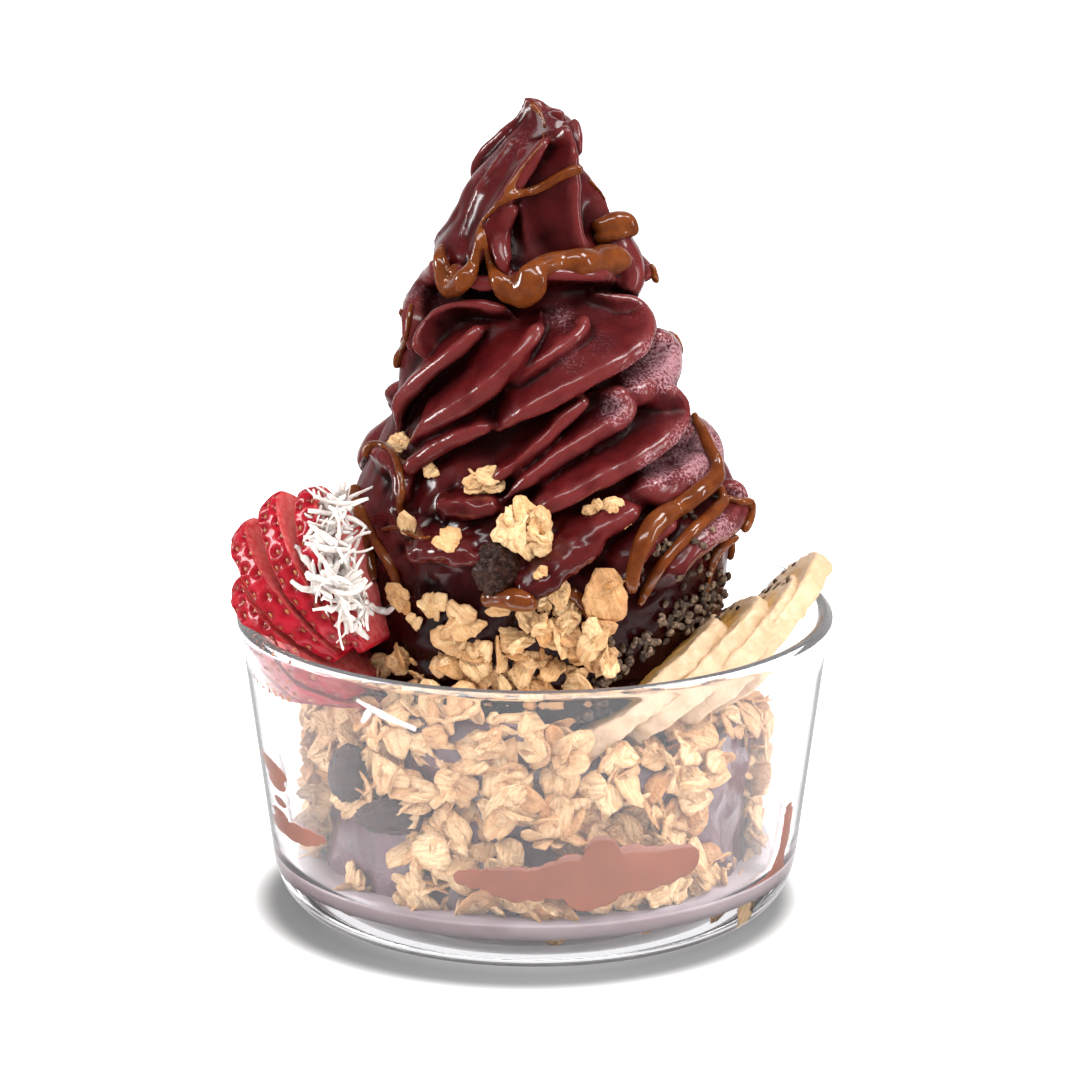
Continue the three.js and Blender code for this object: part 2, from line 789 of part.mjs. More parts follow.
function coconutTuft() {
  const random = draws(tuftSeed);
  const parts = [tuftBody(-tuft.inset, 0, tuft.middleSides)];
  for (let i = 0; i < tuft.shreds; i++) {
    const t = (i + random()) / tuft.shreds;
    const r = along(tuftRadius, t);
    const a = mix(-2.9, 0.1, random()); // round the front of the tuft
    const at = tuftSpine.getPoint(t).add(V(r * 0.85 * Math.cos(a), r * 0.75 * Math.sin(a), 0));
    const heading = mix(0.3, 2.8, random());
    const half = mix(5, 8, random());
    const lean = V(Math.cos(heading), 0.25 * (random() - 0.5), Math.sin(heading)).multiplyScalar(half);
    const bow = mix(-2, 2, random());
    parts.push(shred(at.clone().sub(lean), at.clone().add(lean), bow, tuft.width));
  }
  return joined(parts).intersect(tuftRoom(0));
}

// ---- granola: oat flakes and clusters that fill the ring between the acai and the glass ----

const granola = {
  foot: 8.9,
  // Height of its top by direction, degrees seen from above: 0 is right, 90 is the back.
  top: [
    [0, 46],
    [45, 48],
    [90, 50],
    [135, 50],
    [180, 50],
    [225, 55],
    [255, 62],
    [280, 63],
    [305, 56],
    [330, 47],
    [360, 46],
  ],
  core: 47.5, // radius of the packed middle under the flakes
  coreSides: 20,
  coreLevels: [0, 0.4, 0.8, 1], // from its foot to its top
  coreLumps: 2.4,
  coreEdge: 1.5, // how far its foot and its top are drawn in
  coreUnder: 2, // of its top under the heap's
  rows: 5,
  rowInset: 4.5, // of the first row over the foot
  perRow: 13,
  flakeSize: [16, 12, 4.6],
};

function granolaHeap() {
  const random = draws(7);
  const rings = granola.coreLevels.map((share) =>
    Array.from({ length: granola.coreSides }, (_, k) => {
      const turn = (360 * k) / granola.coreSides;
      const end = share === 0 || share === 1;
      const r = granola.core - (end ? granola.coreEdge : granola.coreLumps * random());
      const z = mix(granola.foot, along(granola.top, turn) - granola.coreUnder, share);
      return V(r * Math.cos(radians(turn)), r * Math.sin(radians(turn)), z);
    }),
  );
  const parts = [solid(loft(rings))];
  for (let row = 0; row < granola.rows; row++) {
    const onTop = row === granola.rows - 1;
    for (let i = 0; i < granola.perRow; i++) {
      const turn = ((360 * (i + 0.5 * (row % 2) + 0.5 * random())) / granola.perRow) % 360;
      const a = radians(turn);
      const first = granola.foot + granola.rowInset;
      const z = mix(first, along(granola.top, turn) - 1, row / (granola.rows - 1));
      const r = granola.core - (onTop ? granola.coreEdge : 0);
      const tilt = () => 1.2 * (random() - 0.5);
      const normal = V(Math.cos(a) + tilt(), Math.sin(a) + tilt(), (onTop ? 0.9 : 0) + tilt()).normalize();
      const size = granola.flakeSize.map((length) => length * mix(0.85, 1.15, random()));
      parts.push(flake(V(r * Math.cos(a), r * Math.sin(a), z), normal, 6 * random(), size, random));
    }
  }
  return joined(parts);
}

// ---- the swirl's own small toppings, by x and height on its front ----

const looseFlakes = [
  [-28, 103.5, 7, 5], [-20.5, 101.5, 5, 4], [-16.5, 89, 9, 6.5], [-26, 90, 8, 5], [5, 79.5, 7, 5],
  [-28, 75, 7, 6], [-20.5, 75.5, 8, 6], [-13.5, 72, 10, 8], [-5, 69, 10, 8], [3.5, 71, 9, 7],
  [10, 68, 9, 8],
];
const looseThickness = 2;
const looseSeeds = [
  [24, 91.7], [27.8, 91.5], [22, 87.4], [29.4, 88.2], [34, 87], [28.5, 80.7], [32.6, 78.6], [22.4, 80],
];

function onSurface(x, z) {
  const { point, face } = onSwirl(x, z);
  return { point, normal: face.normal.clone().lerp(V(0, -1, 0), 0.3).normalize() };
}

const random = draws(19);
const flakesOnSwirl = looseFlakes.map(([x, z, length, width]) => {
  const { point, normal } = onSurface(x, z);
  const size = [length, width, looseThickness];
  return flake(point.addScaledVector(normal, 0.5), normal, 6 * random(), size, random);
});
const seedsOnSwirl = looseSeeds.map(([x, z]) => {
  const { point, normal } = onSurface(x, z);
  return seed(point.addScaledVector(normal, 0.25), normal, 6 * random(), random);
});

// ---- putting it together: what is pressed in cuts its own room, with the clearance ----

const oat = 0xd9a860;
const pieces = [];
function addPiece(name, color, made, room) {
  pieces.push({ name, color, made, room });
}
for (let k = 0; k < banana.edges.length; k++) {
  addPiece("banana_slice_" + (k + 1), 0xf3e3a8, bananaSlice(k), bananaSlice(k, clearance));
}
for (let k = 0; k < fan.tilt.length; k++) {
  addPiece("strawberry_slice_" + (k + 1), 0xb5141f, berrySlice(k), berrySlice(k, clearance));
}
for (let k = 0; k < raisins.length; k++) {
  addPiece("raisin_" + (k + 1), 0x2a1512, raisin(k), raisin(k, clearance));
}
for (let k = 0; k < clusters.length; k++) {
  const room = clusterRoom(clusters[k], k, clearance);
  addPiece("granola_cluster_" + (k + 1), oat, cluster(clusters[k], k), room);
}
addPiece("coconut", 0xf4f0e8, coconutTuft(), tuftRoom(clearance));

let taken = glassRoom;
for (const { name, color, made, room } of pieces) {
  addNode(name, geometryOf(largest(made.subtract(taken))), color, 0.5);
  taken = taken.add(room);
}

const acai = joined([swirl, ...strands.map(strand), ...flakesOnSwirl, ...seedsOnSwirl]);
const acaiSolid = largest(acai.intersect(swirlRoom(0)).subtract(taken));
addNode("acai_swirl", geometryOf(acaiSolid), 0x4a1620, 0.45);
const oatsSolid = largest(granolaHeap().subtract(swirlRoom(clearance)).subtract(taken));
addNode("granola", geometryOf(oatsSolid), oat, 0.8);

export default group;
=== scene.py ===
"""The looks of an acai bowl: glass bowl, granola, swirled acai soft serve, fruit, seeds and drizzle."""

import math

import bpy
import numpy as np
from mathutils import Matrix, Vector
from mathutils.bvhtree import BVHTree
from mathutils.kdtree import KDTree


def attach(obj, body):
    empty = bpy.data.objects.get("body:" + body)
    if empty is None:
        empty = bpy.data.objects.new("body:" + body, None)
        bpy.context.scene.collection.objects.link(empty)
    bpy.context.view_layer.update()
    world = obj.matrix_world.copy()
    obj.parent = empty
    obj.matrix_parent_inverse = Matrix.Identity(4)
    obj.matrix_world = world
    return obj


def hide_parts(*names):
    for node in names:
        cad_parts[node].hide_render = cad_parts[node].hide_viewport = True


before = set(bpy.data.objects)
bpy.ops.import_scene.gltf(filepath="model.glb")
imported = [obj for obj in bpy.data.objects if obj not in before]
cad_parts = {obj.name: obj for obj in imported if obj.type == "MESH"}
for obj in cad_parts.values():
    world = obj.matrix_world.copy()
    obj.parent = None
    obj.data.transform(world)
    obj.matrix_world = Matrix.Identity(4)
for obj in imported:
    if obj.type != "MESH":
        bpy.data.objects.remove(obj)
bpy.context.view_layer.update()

# ---------------------------------------------------------------------------------------------
# The bowl: pressed clear glass with a thick base on a ring foot, a straight flared wall and a
# fire-polished rim. One turned profile. The wall is a little milky from the cold and from haze.
# ---------------------------------------------------------------------------------------------
MM = 0.001

bowl_height = 64.5
rim_radius = 64.45
rim_inner = 60.4
rim_drop = 4.0
wall = 3.8
foot_radius = 50.0
foot_recess = 0.8
heel_radius = foot_radius + 7.4
heel_height = 12.0
base_top = 6.5
floor_radius = foot_radius - 6.0
wall_start = (heel_radius - wall, 14.0)
wall_end = (rim_inner, bowl_height - rim_drop)
bowl_sides = 128
# The rim's bends from its outside over its top: the start, the corner, the end and the steps of
# each. A place is how far in from the rim's outside and how far down from its top.
rim_bends = [
    ((1.3, 7), (0.15, 2.4), (0.12, 1.75), 8),
    ((0.12, 1.75), (0.12, 1.5), (0.29, 1.315), 4),
    ((0.29, 1.315), (0.63, 0.915), (1.0, 0.54), 5),
    ((1.0, 0.54), (1.49, 0), (1.9, 0), 6),
    ((1.9, 0), (4.2, 0.4), (rim_radius - rim_inner, rim_drop), 12),
]


def bend(a, b, c, steps):
    """Points of a quadratic curve from a over b to c, without a."""
    t = np.linspace(0, 1, steps + 1)[1:, None]
    return (1 - t) ** 2 * np.array(a) + 2 * t * (1 - t) * np.array(b) + t * t * np.array(c)


def straight(a, b, steps):
    """Points of a line from a to b, without a."""
    t = np.linspace(0, 1, steps + 1)[1:, None]
    return (1 - t) * np.array(a) + t * np.array(b)


def turned(profile, sides):
    """A closed body turned round the Z axis from [radius, height] points that start and end on it."""
    inner = profile[1:-1]
    angle = 2 * math.pi * np.arange(sides) / sides
    ring = np.stack([np.cos(angle), np.sin(angle)], 1)
    points = np.concatenate(
        [np.column_stack([ring * r, np.full(sides, z)]) for r, z in inner]
        + [[[0, 0, profile[0][1]]], [[0, 0, profile[-1][1]]]]
    )
    faces = []
    for row in range(len(inner) - 1):
        for k in range(sides):
            a, b = row * sides + k, row * sides + (k + 1) % sides
            faces.append((a, b, b + sides, a + sides))
    last = (len(inner) - 1) * sides
    for k in range(sides):
        after = (k + 1) % sides
        faces.append((after, k, len(points) - 2))
        faces.append((last + k, last + after, len(points) - 1))
    return points, faces


def listed(faces):
    """Faces as the plain list that Blender takes."""
    return faces if isinstance(faces, list) else faces.tolist()


def lay(name, points, faces, material, slot=None, nodes=(), marks=None):
    """A finished piece from points in millimetres. marks are numbers per point for its material."""
    mesh = bpy.data.meshes.new(name)
    mesh.from_pydata((np.asarray(points) * MM).tolist(), [], listed(faces))
    mesh.polygons.foreach_set("use_smooth", np.ones(len(mesh.polygons), bool))
    for label, values in (marks or {}).items():
        mark = mesh.attributes.new(label, "FLOAT", "POINT")
        mark.data.foreach_set("value", np.asarray(values, np.float32))
    mesh.materials.append(material)
    piece = bpy.data.objects.new(name, mesh)
    bpy.context.scene.collection.objects.link(piece)
    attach(piece, "root")
    if nodes:
        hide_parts(*nodes)
    return piece


def finish(name, **plain):
    """A new material with one Principled shader. plain are its sockets' fixed values."""
    made = bpy.data.materials.new(name)
    made.use_nodes = True
    shader = made.node_tree.nodes["Principled BSDF"]
    for label, value in plain.items():
        shader.inputs[label.replace("_", " ")].default_value = value
    return made, made.node_tree, shader


def feed(tree, inputs, values):
    """Inputs by their labels, each with a fixed value or with the socket that feeds it."""
    for label, value in values.items():
        if isinstance(value, bpy.types.NodeSocket):
            tree.links.new(value, inputs[label])
        else:
            inputs[label].default_value = value


def node(tree, kind, values=None, **settings):
    """A new node with its settings, fed with values by the labels or numbers of its inputs."""
    made = tree.nodes.new(kind)
    for label, value in settings.items():
        setattr(made, label, value)
    feed(tree, made.inputs, values or {})
    return made


glass, tree, shader = finish(
    "clear_glass",
    Base_Color=(0.965, 0.960, 0.985, 1),
    Roughness=0.015,
    IOR=1.38,
    Transmission_Weight=0.97,
)
# Lamp light and bounced light pass straight through the wall, so that what lies in it is lit.
path = node(tree, "ShaderNodeLightPath")
lets_light = node(
    tree,
    "ShaderNodeMath",
    {0: path.outputs["Is Shadow Ray"], 1: path.outputs["Is Diffuse Ray"]},
    operation="MAXIMUM",
)
clear = node(tree, "ShaderNodeBsdfTransparent", {"Color": (0.94, 0.945, 0.955, 1)})
both = node(
    tree,
    "ShaderNodeMixShader",
    {0: lets_light.outputs[0], 1: shader.outputs[0], 2: clear.outputs[0]},
)
tree.links.new(both.outputs[0], tree.nodes["Material Output"].inputs["Surface"])



def on_rim(inward, down):
    """Radius and height of a place on the rim."""
    return rim_radius - inward, bowl_height - down


# The inner face from the edge of the flat floor up to the rim: radius and height.
inner_wall = np.concatenate(
    [
        bend((floor_radius, base_top), (foot_radius + 2.6, base_top), wall_start, 14),
        straight(wall_start, wall_end, 12),
    ]
)
bowl_profile = np.concatenate(
    [
        [(0, foot_recess)],
        straight((0, foot_recess), (foot_radius - 9, foot_recess), 3),
        bend((foot_radius - 9, foot_recess), (foot_radius - 8, 0), (foot_radius - 7, 0), 5),
        straight((foot_radius - 7, 0), (foot_radius - 0.5, 0), 2),
        bend((foot_radius - 0.5, 0), (foot_radius + 6.2, 1.2), (heel_radius, heel_height), 18),
        straight((heel_radius, heel_height), on_rim(*rim_bends[0][0]), 12),
        *(bend(on_rim(*a), on_rim(*b), on_rim(*c), steps) for a, b, c, steps in rim_bends),
        inner_wall[-2::-1],
        [(floor_radius, base_top)],
        straight((floor_radius, base_top), (0, base_top), 3),
    ]
)
lay("bowl_glass", *turned(bowl_profile, bowl_sides), glass, "bowl_glass", ["bowl"])


def wall_radius(z):
    """Radius of the bowl's inner wall at a height."""
    return np.interp(z, inner_wall[:, 1], inner_wall[:, 0])


def inside_glass(points, gap=0.3):
    """Points that would reach into the bowl's wall, pressed flat against its inner face instead.
    Over the rim they may lean out again."""
    radius = np.hypot(points[:, 0], points[:, 1])
    room = wall_radius(np.minimum(points[:, 2], wall_end[1])) - gap
    room += np.maximum(0, points[:, 2] - bowl_height - 0.5) * 2.5
    points[:, :2] *= np.minimum(1, room / np.maximum(radius, 1e-6))[:, None]
    return points


# ---------------------------------------------------------------------------------------------
# The acai: frozen soft serve, a rope with a star section that twists as it coils up to a peak
# drawn off at the top. It fills the middle of the bowl. Frosty in its flutes, wet on its lips,
# with painted light on its lips and frosted lobes and painted shade in its creases.
# ---------------------------------------------------------------------------------------------
swirl_foot = base_top + 0.5
swirl_top = 176.0
# Outer radius of the coil by height.
swirl_radius = [
    [7, 43], [50, 44], [64, 45.5], [80, 48], [90, 46],
    [100, 41], [110, 36], [120, 33], [128, 30], [136, 25],
]  # fmt: skip
# The coiled rope: how many points its star section has and how deep and sharp they are, how it
# winds up, and its half thickness.
rope = {
    "points": 4,
    "pitch": 22.8,
    "start": 48.0,
    "turns": 3.95,
    "heading": math.radians(110),
    "half": 17.0,
    "flat": 0.95,
    "slope": 0.95,
    "phase": math.radians(20),
    "depth": 0.42,
    "sharp": 3.0,
    "lean": 0.55,
}
# The peak: its section's points, its radius and the place of its middle in x by height, and its twist.
peak = {
    "points": 6,
    "base": 130.0,
    "radius": [
        [130, 14], [135, 21.5], [142, 23.5], [148.6, 20.5], [155, 16.3],
        [162, 12.2], [166, 10.3], [171, 8], [176, 2.5],
    ],
    "lean_x": [[130, 0.5], [148, 0.8], [155, -1.6], [162, -2], [171, 0.8], [176, -1.8]],
    "depth": 0.45,
    "phase": math.radians(-64),
    "twist": math.radians(115),
    "lean": 0.3,
}  # fmt: skip


def eased(knots, x):
    """Values at x of a curve through [place, value] knots."""
    places, values = np.array(knots, float).T
    x = np.clip(x, places[0], places[-1])
    slopes = np.empty(len(places))
    slopes[1:-1] = (values[2:] - values[:-2]) / (places[2:] - places[:-2])
    slopes[[0, -1]] = (values[[1, -1]] - values[[0, -2]]) / (places[[1, -1]] - places[[0, -2]])
    i = np.clip(np.searchsorted(places, x) - 1, 0, len(places) - 2)
    h = places[i + 1] - places[i]
    t = (x - places[i]) / h
    return (
        values[i] * (1 + 2 * t) * (1 - t) ** 2
        + slopes[i] * h * t * (1 - t) ** 2
        + values[i + 1] * t * t * (3 - 2 * t)
        + slopes[i + 1] * h * t * t * (t - 1)
    )


def smooth_step(a, b, x):
    """0 where x is at a or before it, 1 from b on, and a smooth rise between them."""
    t = np.clip((np.asarray(x, float) - a) / (b - a), 0, 1)
    return t * t * (3 - 2 * t)


def loft(rings):
    """A closed skin over rings of points, with a fan over each end."""
    rings = np.asarray(rings, float)
    rows, side = rings.shape[:2]
    row, k = np.meshgrid(np.arange(rows - 1), np.arange(side), indexing="ij")
    a, b = (row * side + k).ravel(), (row * side + (k + 1) % side).ravel()
    quads = np.stack([a, b, b + side, a + side], 1).tolist()
    ends = [rings[0].mean(0), rings[-1].mean(0)]
    first, top = rows * side, (rows - 1) * side
    fans = [((i + 1) % side, i, first) for i in range(side)]
    fans += [(top + i, top + (i + 1) % side, first + 1) for i in range(side)]
    return np.concatenate([rings.reshape(-1, 3), ends]), quads + fans


def together(shells):
    """Several (points, faces) shells as one."""
    points, faces, count = [], [], 0
    for p, f in shells:
        points.append(p)
        faces += [tuple(i + count for i in face) for face in f]
        count += len(p)
    return np.concatenate(points), faces


def coil_rings(per_turn, side):
    """The rope's section, with as many points as side says, along its coil."""
    steps = round(rope["turns"] * per_turn)
    t = np.arange(steps + 1) / per_turn
    z = rope["start"] + rope["pitch"] * t
    half = rope["half"] * (1 - 0.28 * smooth_step(2.2, rope["turns"], t))
    reach = eased(swirl_radius, z)
    radius = np.maximum(1, reach - half)
    step = (2 * math.pi / per_turn) * rope["slope"] * reach / rope["half"]
    twist = rope["phase"] + np.concatenate([[0], np.cumsum(step)[:-1]])
    turn = rope["heading"] + 2 * math.pi * t
    a = 2 * math.pi * np.arange(side) / side
    high = np.abs(np.cos(a * rope["points"] / 2)) ** rope["sharp"]
    length = half[:, None] * (1 - rope["depth"] * (1 - high))
    b = a + twist[:, None] - rope["lean"] * high
    outward = radius[:, None] + length * np.cos(b)
    return np.stack(
        [
            outward * np.cos(turn)[:, None],
            outward * np.sin(turn)[:, None],
            z[:, None] + length * rope["flat"] * np.sin(b),
        ],
        2,
    )


def peak_rings(rows, side):
    """The peak's section, with as many points as side says, from its foot to its tip."""
    share = np.linspace(0, 1, rows + 1)[:, None]
    z = peak["base"] + (swirl_top - peak["base"]) * share
    a = 2 * math.pi * np.arange(side) / side
    high = np.abs(np.cos(a * peak["points"] / 2)) ** 2
    r = eased(peak["radius"], z) * (1 - peak["depth"] * (1 - high))
    b = a + peak["phase"] + peak["twist"] * share + peak["lean"] * high
    x = eased(peak["lean_x"], z) + r * np.cos(b)
    return np.stack([x, r * np.sin(b), np.broadcast_to(z, x.shape)], 2)


# The solid core: a straight column in the bowl, above it as wide as fills the coil.
core_heights = np.array([swirl_foot, 30, 50, 80, 100, 120, 132])
column_height, column_radius = 50, 33
coil_cover = 11
core_sides = 48
core_radii = np.where(
    core_heights <= column_height, column_radius, eased(swirl_radius, core_heights) - coil_cover
)
core_angle = 2 * math.pi * np.arange(core_sides) / core_sides
core_rings = [
    np.column_stack([r * np.cos(core_angle), r * np.sin(core_angle), np.full(core_sides, z)])
    for r, z in zip(core_radii, core_heights)
]


# The camera, in millimetres: where it looks, how far off and how far above level it stands, and its
# lens. Ridges and toppings are placed by where they show in its view, u across and v down.
aim = np.array([1.1, 0, 79])
distance = 1000
drop = math.radians(15.4)
lens_length, sensor_width = 154.87, 36
view_width = 1080
view_half = view_width / 2
view_distance = lens_length / sensor_width * view_width
view_ahead = np.array([0, math.cos(drop), -math.sin(drop)])
view_up = np.array([0, math.sin(drop), math.cos(drop)])
eye = aim - distance * view_ahead


def sight(u, v):
    """The way from the eye to a place in the view, whose middle is at view_half."""
    way = view_distance * view_ahead + (view_half - v) * view_up + np.array([u - view_half, 0, 0])
    return way / np.linalg.norm(way)


def surface(points, faces):
    """The mesh in the form that sight lines are cast on."""
    return BVHTree.FromPolygons(np.asarray(points).tolist(), listed(faces))


def seen(u, v, tree):
    """Point and normal of the surface that shows at a place in the view, or None."""
    place, normal, _, _ = tree.ray_cast(Vector(eye), Vector(sight(u, v)))
    return None if place is None else (np.array(place), np.array(normal))


def beside(u, v, tree, away, most):
    """Point and normal for a place in the view that lies past the surface's edge: the place as far
    from the eye as away says, drawn in until it is at most that far off the surface."""
    start = eye + away * sight(u, v)
    place, normal, _, gap = tree.find_nearest(Vector(start))
    place, normal = np.array(place), np.array(normal)
    return place + (start - place) * min(1.0, most / max(gap, 1e-6)), normal


def over_middle(u, v):
    """How far from the eye the sight line to a place in the view crosses the plane y = 0."""
    return -eye[1] / sight(u, v)[1]


def touched(u, v, tree, most=1.5):
    """Point and normal of the surface at a place in the view, also just past its edge."""
    return seen(u, v, tree) or beside(u, v, tree, over_middle(u, v), most)


def through(knots, spacing):
    """Points about spacing apart on a smooth curve through the knots."""
    knots = np.array(knots, float)
    ends = np.concatenate([[2 * knots[0] - knots[1]], knots, [2 * knots[-1] - knots[-2]]])
    out = []
    for i in range(1, len(ends) - 2):
        a, b, c, d = ends[i - 1 : i + 3]
        steps = max(2, int(np.linalg.norm(c - b) / spacing))
        t = np.arange(steps)[:, None] / steps
        out.append(
            0.5
            * (
                2 * b
                + (c - a) * t
                + (2 * a - 5 * b + 4 * c - d) * t**2
                + (3 * b - a - 3 * c + d) * t**3
            )
        )
    return np.concatenate(out + [knots[-1:]])


def eased_over(values, reach):
    """Running mean of rows over reach rows each way."""
    padded = np.concatenate([values[:1].repeat(reach, 0), values, values[-1:].repeat(reach, 0)])
    total = np.cumsum(np.concatenate([np.zeros_like(padded[:1]), padded]), 0)
    width = 2 * reach + 1
    return (total[width:] - total[:-width]) / width


def tube(middle, out, half, flat=1.0, sides=14):
    """Rings of a rope along middle, whose half thickness is half, and flat times that along out."""
    ahead = np.gradient(middle, axis=0)
    ahead /= np.linalg.norm(ahead, axis=1)[:, None]
    side = np.cross(ahead, out)
    side /= np.linalg.norm(side, axis=1)[:, None]
    out = np.cross(side, ahead)
    a = 2 * math.pi * np.arange(sides) / sides
    wide = half[:, None, None] * np.cos(a)[None, :, None] * side[:, None]
    high = half[:, None, None] * flat * np.sin(a)[None, :, None] * out[:, None]
    return middle[:, None] + wide + high


def worked(points, faces, *steps):
    """The mesh after Blender's own modifiers, given as (kind, settings), as points and triangles."""
    mesh = bpy.data.meshes.new("work")
    mesh.from_pydata(np.asarray(points).tolist(), [], listed(faces))
    piece = bpy.data.objects.new("work", mesh)
    bpy.context.scene.collection.objects.link(piece)
    for kind, settings in steps:
        step = piece.modifiers.new(kind, kind)
        for label, value in settings.items():
            setattr(step, label, value)
    bpy.context.view_layer.update()
    done = piece.evaluated_get(bpy.context.evaluated_depsgraph_get()).to_mesh()
    done.calc_loop_triangles()
    out = np.empty(len(done.vertices) * 3)
    done.vertices.foreach_get("co", out)
    corners = np.empty(len(done.loop_triangles) * 3, np.int32)
    done.loop_triangles.foreach_get("vertices", corners)
    bpy.data.objects.remove(piece)
    bpy.data.meshes.remove(mesh)
    return out.reshape(-1, 3), corners.reshape(-1, 3)


def neighbour_mean(values, edges):
    """Mean of each point's neighbours."""
    total = np.zeros_like(values)
    count = np.bincount(edges.ravel(), minlength=len(values))
    for axis in range(values.shape[1]):
        total[:, axis] = np.bincount(edges[:, 0], values[edges[:, 1], axis], len(values))
        total[:, axis] += np.bincount(edges[:, 1], values[edges[:, 0], axis], len(values))
    return total / np.maximum(count, 1)[:, None]


def edges_of(triangles):
    """Each edge once, as its two points."""
    pairs = np.sort(np.concatenate([triangles[:, [0, 1]], triangles[:, [1, 2]], triangles[:, [2, 0]]]), 1)
    return np.unique(pairs, axis=0)


def normals_of(points, triangles):
    """The normal at each point, from the triangles round it."""
    a, b, c = (points[triangles[:, i]] for i in range(3))
    face = np.cross(b - a, c - a)
    total = np.zeros_like(points)
    for i in range(3):
        np.add.at(total, triangles[:, i], face)
    return total / np.maximum(np.linalg.norm(total, axis=1), 1e-12)[:, None]


def lumps(points, size, seed, octaves=2):
    """Smooth random height, about -1 to 1, whose bumps are size millimetres across."""
    draw = np.random.default_rng(seed)
    total, weight = np.zeros(len(points)), 1.0
    for _ in range(octaves):
        for _ in range(6):
            way = draw.normal(size=3)
            way *= 2 * math.pi / (size * draw.uniform(0.8, 1.4)) / np.linalg.norm(way)
            bent = points + 0.3 * size * np.sin(points[:, [1, 2, 0]] * 3 / size + draw.uniform(0, 6))
            total += weight * np.sin(bent @ way + draw.uniform(0, 6)) / 6
        size, weight = size * 0.5, weight * 0.5
    return total * 1.6


# The front of the swirl under its ridges: height, its middle in x, its radius.
front_body = np.array([
    [58, 0, 39.5], [75, 0.5, 41], [88, 1.2, 40.6], [97.5, 1.0, 36.4], [105, 0.8, 32],
    [112, 0.2, 29.6], [119, -0.6, 27.8], [126, -1.6, 25.6], [131, -2, 22.4], [134.5, -2.4, 18],
    [138, -3, 17], [142, -4, 17.6], [145, -4.2, 16.3], [148.7, -3.9, 13.8], [153, -3.4, 12.4],
    [157.6, -2.4, 11.2], [162, -0.6, 9.6], [166.4, 1.5, 7.6], [170.9, 2.4, 4.8], [174.3, 0.4, 1.5],
])  # fmt: skip


def body_middle(z):
    """Where the front body's middle is in x at a height."""
    return eased(front_body[:, [0, 1]], z)


def body_radius(z):
    """Radius of the front body at a height."""
    return eased(front_body[:, [0, 2]], z)


def drawn_in(rings):
    """Rings whose front no longer stands out of the front body."""
    points = rings.reshape(-1, 3).copy()
    z = np.clip(points[:, 2], front_body[0, 0], front_body[-1, 0])
    x = points[:, 0] - body_middle(z)
    reach = np.maximum(np.hypot(x, points[:, 1]), 1e-6)
    share = np.minimum(1, body_radius(z) / reach)
    # On the coil the front starts 18 to 5 mm behind the middle, on the slender peak 7 to -5 mm.
    high = smooth_step(128, 137, points[:, 2])
    front = smooth_step(18 - 11 * high, 5 - 10 * high, points[:, 1])
    share = 1 - front * (1 - share)
    points[:, 0] += x * (share - 1)
    points[:, 1] *= share
    return points.reshape(rings.shape)


body_heights = np.arange(front_body[0, 0], front_body[-1, 0], 1.0)[:, None]
body_sides = 90
body_angle = 2 * math.pi * np.arange(body_sides) / body_sides


def body_rings(swell=0.0):
    """Rings of the front body, swollen by so many millimetres."""
    x = body_middle(body_heights) + (body_radius(body_heights) + swell) * np.cos(body_angle)
    y = (body_radius(body_heights) + swell) * np.sin(body_angle)
    return np.stack([x, y, np.broadcast_to(body_heights, x.shape)], 2)


